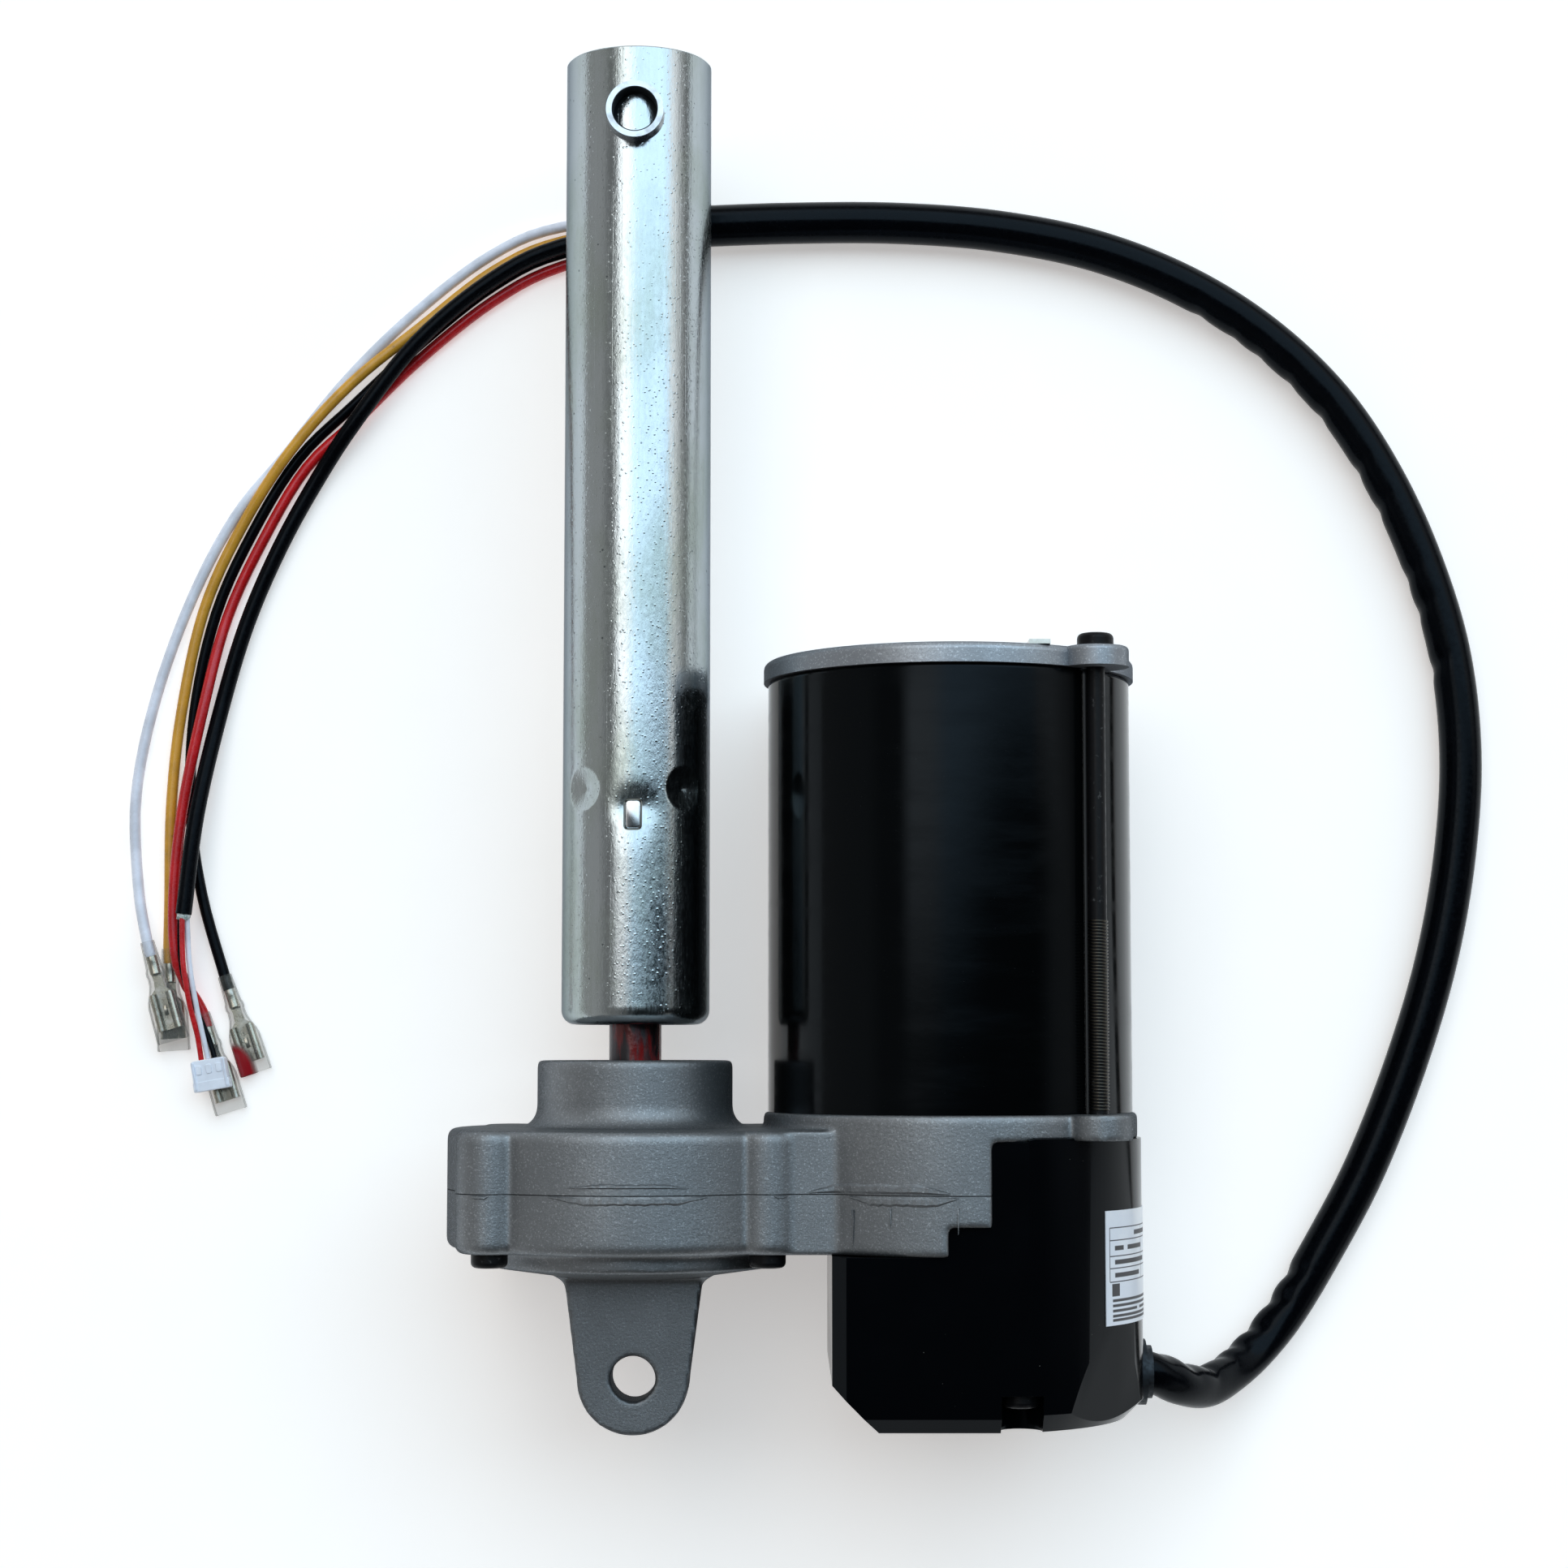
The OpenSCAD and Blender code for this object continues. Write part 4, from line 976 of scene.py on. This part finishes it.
def add_bolt_threads():
    low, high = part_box("through_bolts")
    parts = []
    for x, z in ((high.x - BOLT_INSET, high.z - BOLT_INSET),
                 (low.x + BOLT_INSET, low.z + BOLT_INSET)):
        parts.append(
            thread_mesh(x, z, BOLT_R, CREST_R, BOLT_PITCH, BOLT_LOW_Y, BOLT_HIGH_Y, 16)
        )
    add_object("bolt_threads", joined(parts, "threads"), thread_steel())


add_bolt_threads()


# ---- cable ends
PLUGS = {tone: (WIRE_ROUTES[tone + "_wire"][-2], turn) for tone, turn in HEADINGS.items()}
CONNECTOR_AT, CONNECTOR_HEADING = (-103.3, 70.6, -36.4), -80
FILLER_AT, FILLER_HEADING = (-109.45, 105.3, -34.85), -97


def at_plug(bm, place, heading):
    """Moves a piece drawn along +X, in millimetres, onto a plug's place."""
    turn = Matrix.Rotation(radians(heading), 4, "Z")
    bm.transform(Matrix.Translation(Vector(place) * MM) @ turn @ Matrix.Scale(MM, 4))
    return bm


def flat_section(s, width, thick, squareness, count=32):
    """A ring across +X: round at squareness 2 and boxy above."""
    ring = []
    for a in around(count):
        c, n = cos(a), sin(a)
        y = width / 2 * copysign(abs(c) ** (2 / squareness), c)
        z = thick / 2 * copysign(abs(n) ** (2 / squareness), n)
        ring.append((s, y, z))
    return ring


# Distance from the wire's end, width, thickness and squareness, in mm
BOOT_ROWS = (
    (0.0, 3.3, 3.1, 2.0), (0.4, 3.4, 3.2, 2.0), (3.6, 3.7, 3.2, 2.0), (6.6, 4.1, 3.2, 2.0),
    (7.3, 4.6, 3.2, 2.1), (8.2, 4.7, 3.2, 2.1), (8.8, 4.3, 3.2, 2.1), (10.6, 4.5, 3.2, 2.2),
    (12.4, 5.6, 3.2, 2.5), (14.2, 7.0, 3.2, 2.9), (15.6, 7.6, 3.2, 3.2), (20.0, 7.7, 3.2, 3.4),
    (24.2, 7.8, 3.2, 3.4), (24.5, 7.6, 3.1, 3.4),
)


def boot_mesh(place, heading):
    """Thin clear shell, open at its mouth, which hugs the wire and widens over the receptacle."""
    outer = [flat_section(*row) for row in BOOT_ROWS]
    inner = [flat_section(max(s, 0.3), w - 0.55, t - 0.55, q) for s, w, t, q in BOOT_ROWS]
    return at_plug(loft([*outer, *inner[::-1]]), place, heading)


def rolled_half(side):
    """Outline of one rolled edge of a receptacle: a strip that curls back over the blade."""
    centre_y, sheet = 2.05, 0.32

    def arc(r, degrees):
        angles = [radians(d) for d in degrees]
        return [(centre_y + r * cos(a), r * sin(a)) for a in angles]

    r = 0.95
    outer, inner = arc(r, range(-90, 181, 18)), arc(r - sheet, range(180, -91, -18))
    outline = [(-0.03, -r), *outer, *inner, (-0.03, -r + sheet)]
    return [(side * y, z) for y, z in outline]


def terminal_mesh(place, heading):
    """Female blade terminal: crimp barrel, neck and rolled receptacle."""
    barrel = ((3.5, 2.3, 2.4), (3.8, 2.6, 2.6), (5.2, 2.6, 2.2), (6.4, 2.6, 2.2), (7.9, 2.6, 2.6),
              (8.1, 2.3, 2.3))
    parts = [loft([flat_section(s, w, t, 2.3, 20) for s, w, t in barrel])]
    neck = ((7.6, 2.4), (9.5, 2.1), (11.5, 2.6), (12.9, 5.6))
    parts.append(loft([
        [(s, -w / 2, -0.95), (s, w / 2, -0.95), (s, w / 2, -0.6), (s, -w / 2, -0.6)]
        for s, w in neck
    ]))
    for side in (-1, 1):
        outline = rolled_half(side)
        rows = ((12.7, 0.94), (13.1, 1.0), (21.2, 1.0), (21.6, 1.04))
        parts.append(loft([[(s, y * k, z) for y, z in outline] for s, k in rows]))
    parts.append(loft([
        [(s, -0.45, -0.62), (s, 0.45, -0.62), (s, 0.3, -0.62 + h), (s, -0.3, -0.62 + h)]
        for s, h in ((15.6, 0.05), (16.4, 0.4), (17.4, 0.45), (18.2, 0.05))
    ]))
    return joined([at_plug(part, place, heading) for part in parts], "receptacle")


def mouth_stain(p):
    """Red stain along one side of the black wire's boot, toward its mouth."""
    place, heading = PLUGS["black"]
    inputs = {"Vector": p.place, "Location": Vector(place) * MM}
    inputs["Rotation"] = (0, 0, radians(heading))
    at_wire = p.add("ShaderNodeMapping", inputs, vector_type="TEXTURE").outputs[0]
    along, across, _ = p.add("ShaderNodeSeparateXYZ", {0: at_wire}).outputs
    reach = p.between(along, 12 * MM, 22 * MM)
    side = p.between(across, -3.8 * MM, 3 * MM, 1.25, 0)
    return p.between(p.times(reach, side), 0.3, 0.75)


def add_terminals():
    tinned = steel("tinned terminal", (0.50, 0.47, 0.39), 0.24)
    clear = clear_vinyl("boot vinyl")
    stained = clear_vinyl("stained boot vinyl", stain=mouth_stain)
    for tone, (place, heading) in PLUGS.items():
        metal = terminal_mesh(place, heading)
        terminal = add_object(tone + "_receptacle", metal, tinned, sharp=40)
        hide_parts(tone + "_terminal")
        mesh = to_mesh(boot_mesh(place, heading), "boot")
        film = stained if tone == "black" else clear
        boot = add_object(tone + "_sleeve_boot", mesh, film)
        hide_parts(tone + "_boot")


def eased_block(x0, x1, y0, y1, z0, z1, edge=0.18):
    """A block with cut corners and eased upper and lower edges."""
    rings, c = [], 0.25
    for z, e in ((z0, edge), (z0 + edge, 0), (z1 - edge, 0), (z1, edge)):
        rings.append([
            (x0 + e, y0 + e + c, z), (x0 + e + c, y0 + e, z), (x1 - e - c, y0 + e, z),
            (x1 - e, y0 + e + c, z), (x1 - e, y1 - e - c, z), (x1 - e - c, y1 - e, z),
            (x0 + e + c, y1 - e, z), (x0 + e, y1 - e - c, z),
        ])
    return loft(rings)


def add_connector():
    """Three-way nylon housing with keying ribs, wire pockets and a front lip."""
    width, length, thick = 8.6, 7.4, 4.4
    half, low, top = width / 2, -thick / 2, thick / 2
    parts = [
        eased_block(0, length, -half + 0.5, half - 0.5, low, top - 0.5),
        eased_block(length - 2.4, length, -half, half, low, top - 0.35),
    ]
    for rib in (-half + 0.6, half - 0.6):
        parts.append(eased_block(0.2, length - 0.4, rib - 0.35, rib + 0.35, low + 0.4, top))
    for row in (-2.4, 0, 2.4):
        parts.append(eased_block(1.2, 3.4, row - 0.7, row + 0.7, top - 0.9, top - 0.28, 0.1))
    meshes = [at_plug(part, CONNECTOR_AT, CONNECTOR_HEADING) for part in parts]
    nylon = moulded_pale("connector white", (0.86, 0.90, 1.0), 0.32)
    shell = add_object("connector_shell", joined(meshes, "connector"), nylon, smooth=False)
    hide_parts("sensor_connector")


def add_filler():
    """Chalky filler that shows where the sensor cable's jacket is cut."""
    rng = random.Random(3)
    rings = []
    for s, r in ((0.0, 1.3), (0.25, 1.75), (0.8, 1.7), (1.4, 1.45), (1.8, 0.7)):
        rings.append([
            (s + rng.uniform(-0.18, 0.25), (r + rng.uniform(-0.3, 0.15)) * cos(a),
             (r + rng.uniform(-0.3, 0.15)) * sin(a))
            for a in around(18)
        ])
    p = Paint("chalky filler", (0.78, 0.82, 0.80), Roughness=0.8)
    crumbs = p.noise(1800, 4, 0.7)
    tone = p.mix(p.between(crumbs, 0.4, 0.6), (0.35, 0.45, 0.44), (0.85, 0.88, 0.86))
    chalk = p.finish(tone, p.between(crumbs, 0.3, 0.7, 0.9, 0.6), (crumbs, 0.3, 1.0))
    mesh = to_mesh(at_plug(loft(rings), FILLER_AT, FILLER_HEADING), "filler")
    add_object("cable_filler", mesh, chalk)


add_terminals()
add_connector()
add_filler()


# ---- rating label
# In mm: round the can from its top, and up from the label's lower edge
LABEL_R, RULE_HALF = 42.9, 0.12
RULES, COLUMNS = (20.9, 18.2, 14.8, 12.2, 9.3), (30.0, 12.0, -27.0)
DARK_BLOCK = (26.0, 29.2, 6.2, 8.9, 0.08, 0.08)
# Height, start and end of each bar that stands for a line of print
BARS = (
    (19.5, 18, 4), (16.5, 28, 24), (16.5, 22, 12), (13.5, 28, 9), (10.7, 28, 14), (5.3, 29, 6),
    (5.3, 4, -20), (4.2, 29, -8), (3.1, 29, 16), (3.1, 14, -22), (2.0, 29, -14), (1.1, 29, 2),
)


def label_marks():
    """Boxes of print: from and to round the can, from and to in height, softness of each."""
    for y in RULES:
        yield COLUMNS[-1], COLUMNS[0], y - RULE_HALF, y + RULE_HALF, 0.1, 0.06
    for x in COLUMNS:
        yield x - RULE_HALF, x + RULE_HALF, RULES[-1], RULES[0], 0.06, 0.06
    yield DARK_BLOCK
    for y, start, end in BARS:
        tall = 0.5 if y > RULES[-1] else 0.3
        yield end, start, y - tall, y + tall, 0.2, 0.08


def label_print():
    """White film with a ruled box, a dark block and rows of bars that stand for print."""
    p = Paint("rating label", (0.75, 0.77, 0.82), Roughness=0.32)
    turn = p.math("ARCTAN2", p.axis("Z"), p.math("SUBTRACT", p.axis("X"), MOTOR_X))
    round_mm = p.times(turn, LABEL_R)
    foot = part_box("rating_label")[0].y
    up = p.times(p.math("SUBTRACT", p.axis("Y"), foot), 1 / MM)
    ink = 0.0
    for x0, x1, y0, y1, soft_x, soft_y in label_marks():
        box = p.times(p.inside(round_mm, x0, x1, soft_x), p.inside(up, y0, y1, soft_y))
        ink = p.math("MAXIMUM", ink, box)
    film = p.mix(p.between(p.noise(90, 3), 0.35, 0.7), (0.70, 0.73, 0.80), (0.80, 0.81, 0.84))
    tone = p.mix(ink, film, (0.02, 0.02, 0.025))
    return p.finish(tone, p.between(ink, 0, 1, 0.28, 0.45), (p.noise(700, 2), 0.02, 0.3))


paint_node("rating_label", label_print())


# ---- stage and light
FLOOR_R, FLOOR_GAP = 20, 0.2 * MM


def add_floor():
    bm = bmesh.new()
    bmesh.ops.create_circle(bm, cap_ends=True, segments=96, radius=FLOOR_R)
    floor = new_object("floor", to_mesh(bm, "floor"))
    floor.location.z = FLOOR_Z - FLOOR_GAP
    glow = {"Emission_Color": (1, 0.965, 0.95, 1), "Emission_Strength": 0.42}
    p = Paint("pale floor", (0.86, 0.86, 0.86), Roughness=0.7, **glow)
    p.drive("Base Color", p.mix(p.noise(60, 3), (0.86, 0.85, 0.83), (0.90, 0.88, 0.86)))
    floor.data.materials.append(p.material)


# Strengths of the lamp, the panel at the far right and the room
LAMP, SIDE, ROOM_LEFT, ROOM_NEAR, ROOM_RIGHT = 2.35, 0.44, 0.42, 0.22, 0.01
WALL_LEFT, WALL_RIGHT = 0.42, 0.2
LAMP_WHITE, LAMP_SKY = (1.0, 0.99, 0.97), (0.66, 0.86, 1.0)
# Angles from straight up, in radians, between which each edge fades
LAMP_LEFT, LAMP_RIGHT, LAMP_FOOT = (-0.60, -0.42), (-0.45, 0.25), (-0.01, 0.10)
LAMP_REACH = (0.02, 0.24, 0.15, 1.15)  # how far right the lamp goes, by the angle along
SIDE_EDGE, SIDE_FOOT, SIDE_LOW = (0.9, 1.2), (-0.09, -0.02), (-0.5, -0.3)
ROOM_FAR, ROOM_FADE = (-1.0, -0.75), (-0.55, 0.1)
SKY_FROM, SKY_TO = (-0.3, 0.0), (0.85, 1.0)
# Parts of a unit vector between which the plain walls begin
HORIZON, ENDS, WALL_SIDES = (0.14, 0.22), (0.85, 0.95), (-0.6, 0.6)


def add_studio():
    """A soft studio: bright overhead to the far side and the left, dim behind the camera."""
    world = bpy.data.worlds.new("studio")
    world.use_nodes = True
    bpy.context.scene.world = world
    n = Nodes(world.node_tree)
    toward = n.add("ShaderNodeTexCoord").outputs["Generated"]
    x, y, z = n.add("ShaderNodeSeparateXYZ", {0: toward}).outputs
    across, along = n.math("ARCTAN2", x, z), n.math("ARCTAN2", y, z)
    reach = n.between(along, *LAMP_REACH)
    right_edge = n.between(n.math("SUBTRACT", across, reach), *LAMP_RIGHT, 1, 0)
    lamp = n.times(n.between(across, *LAMP_LEFT), right_edge)
    lamp = n.times(lamp, n.between(along, *LAMP_FOOT))
    height = n.math("ADD", n.between(y, *SIDE_FOOT), n.between(y, *SIDE_LOW, 1.3, 0))
    side = n.times(n.between(across, *SIDE_EDGE, 0, SIDE), height)
    left = n.between(across, *ROOM_FAR, ROOM_LEFT, ROOM_NEAR)
    room = n.between(across, *ROOM_FADE, left, ROOM_RIGHT)
    light = n.math("ADD", n.times(lamp, LAMP), n.math("ADD", room, side))
    # Plain walls: an even grey near the horizon and toward both ends of the object
    ends = n.between(n.math("ABSOLUTE", y), *ENDS)
    wall = n.math("MAXIMUM", n.between(z, *HORIZON, 1, 0), ends)
    wall_light = n.times(wall, n.between(x, *WALL_SIDES, WALL_LEFT, WALL_RIGHT))
    no_wall = n.math("SUBTRACT", 1.0, wall)
    strength = n.math("ADD", n.times(light, no_wall), wall_light)
    share = n.times(n.between(across, *SKY_FROM), n.between(across, *SKY_TO, 1, 0))
    color = n.mix(n.times(share, no_wall), LAMP_WHITE, LAMP_SKY)
    background = world.node_tree.nodes["Background"]
    n.tree.links.new(strength, background.inputs["Strength"])
    n.tree.links.new(color, background.inputs["Color"])


add_floor()
add_studio()
bpy.context.scene.view_settings.view_transform = "Standard"
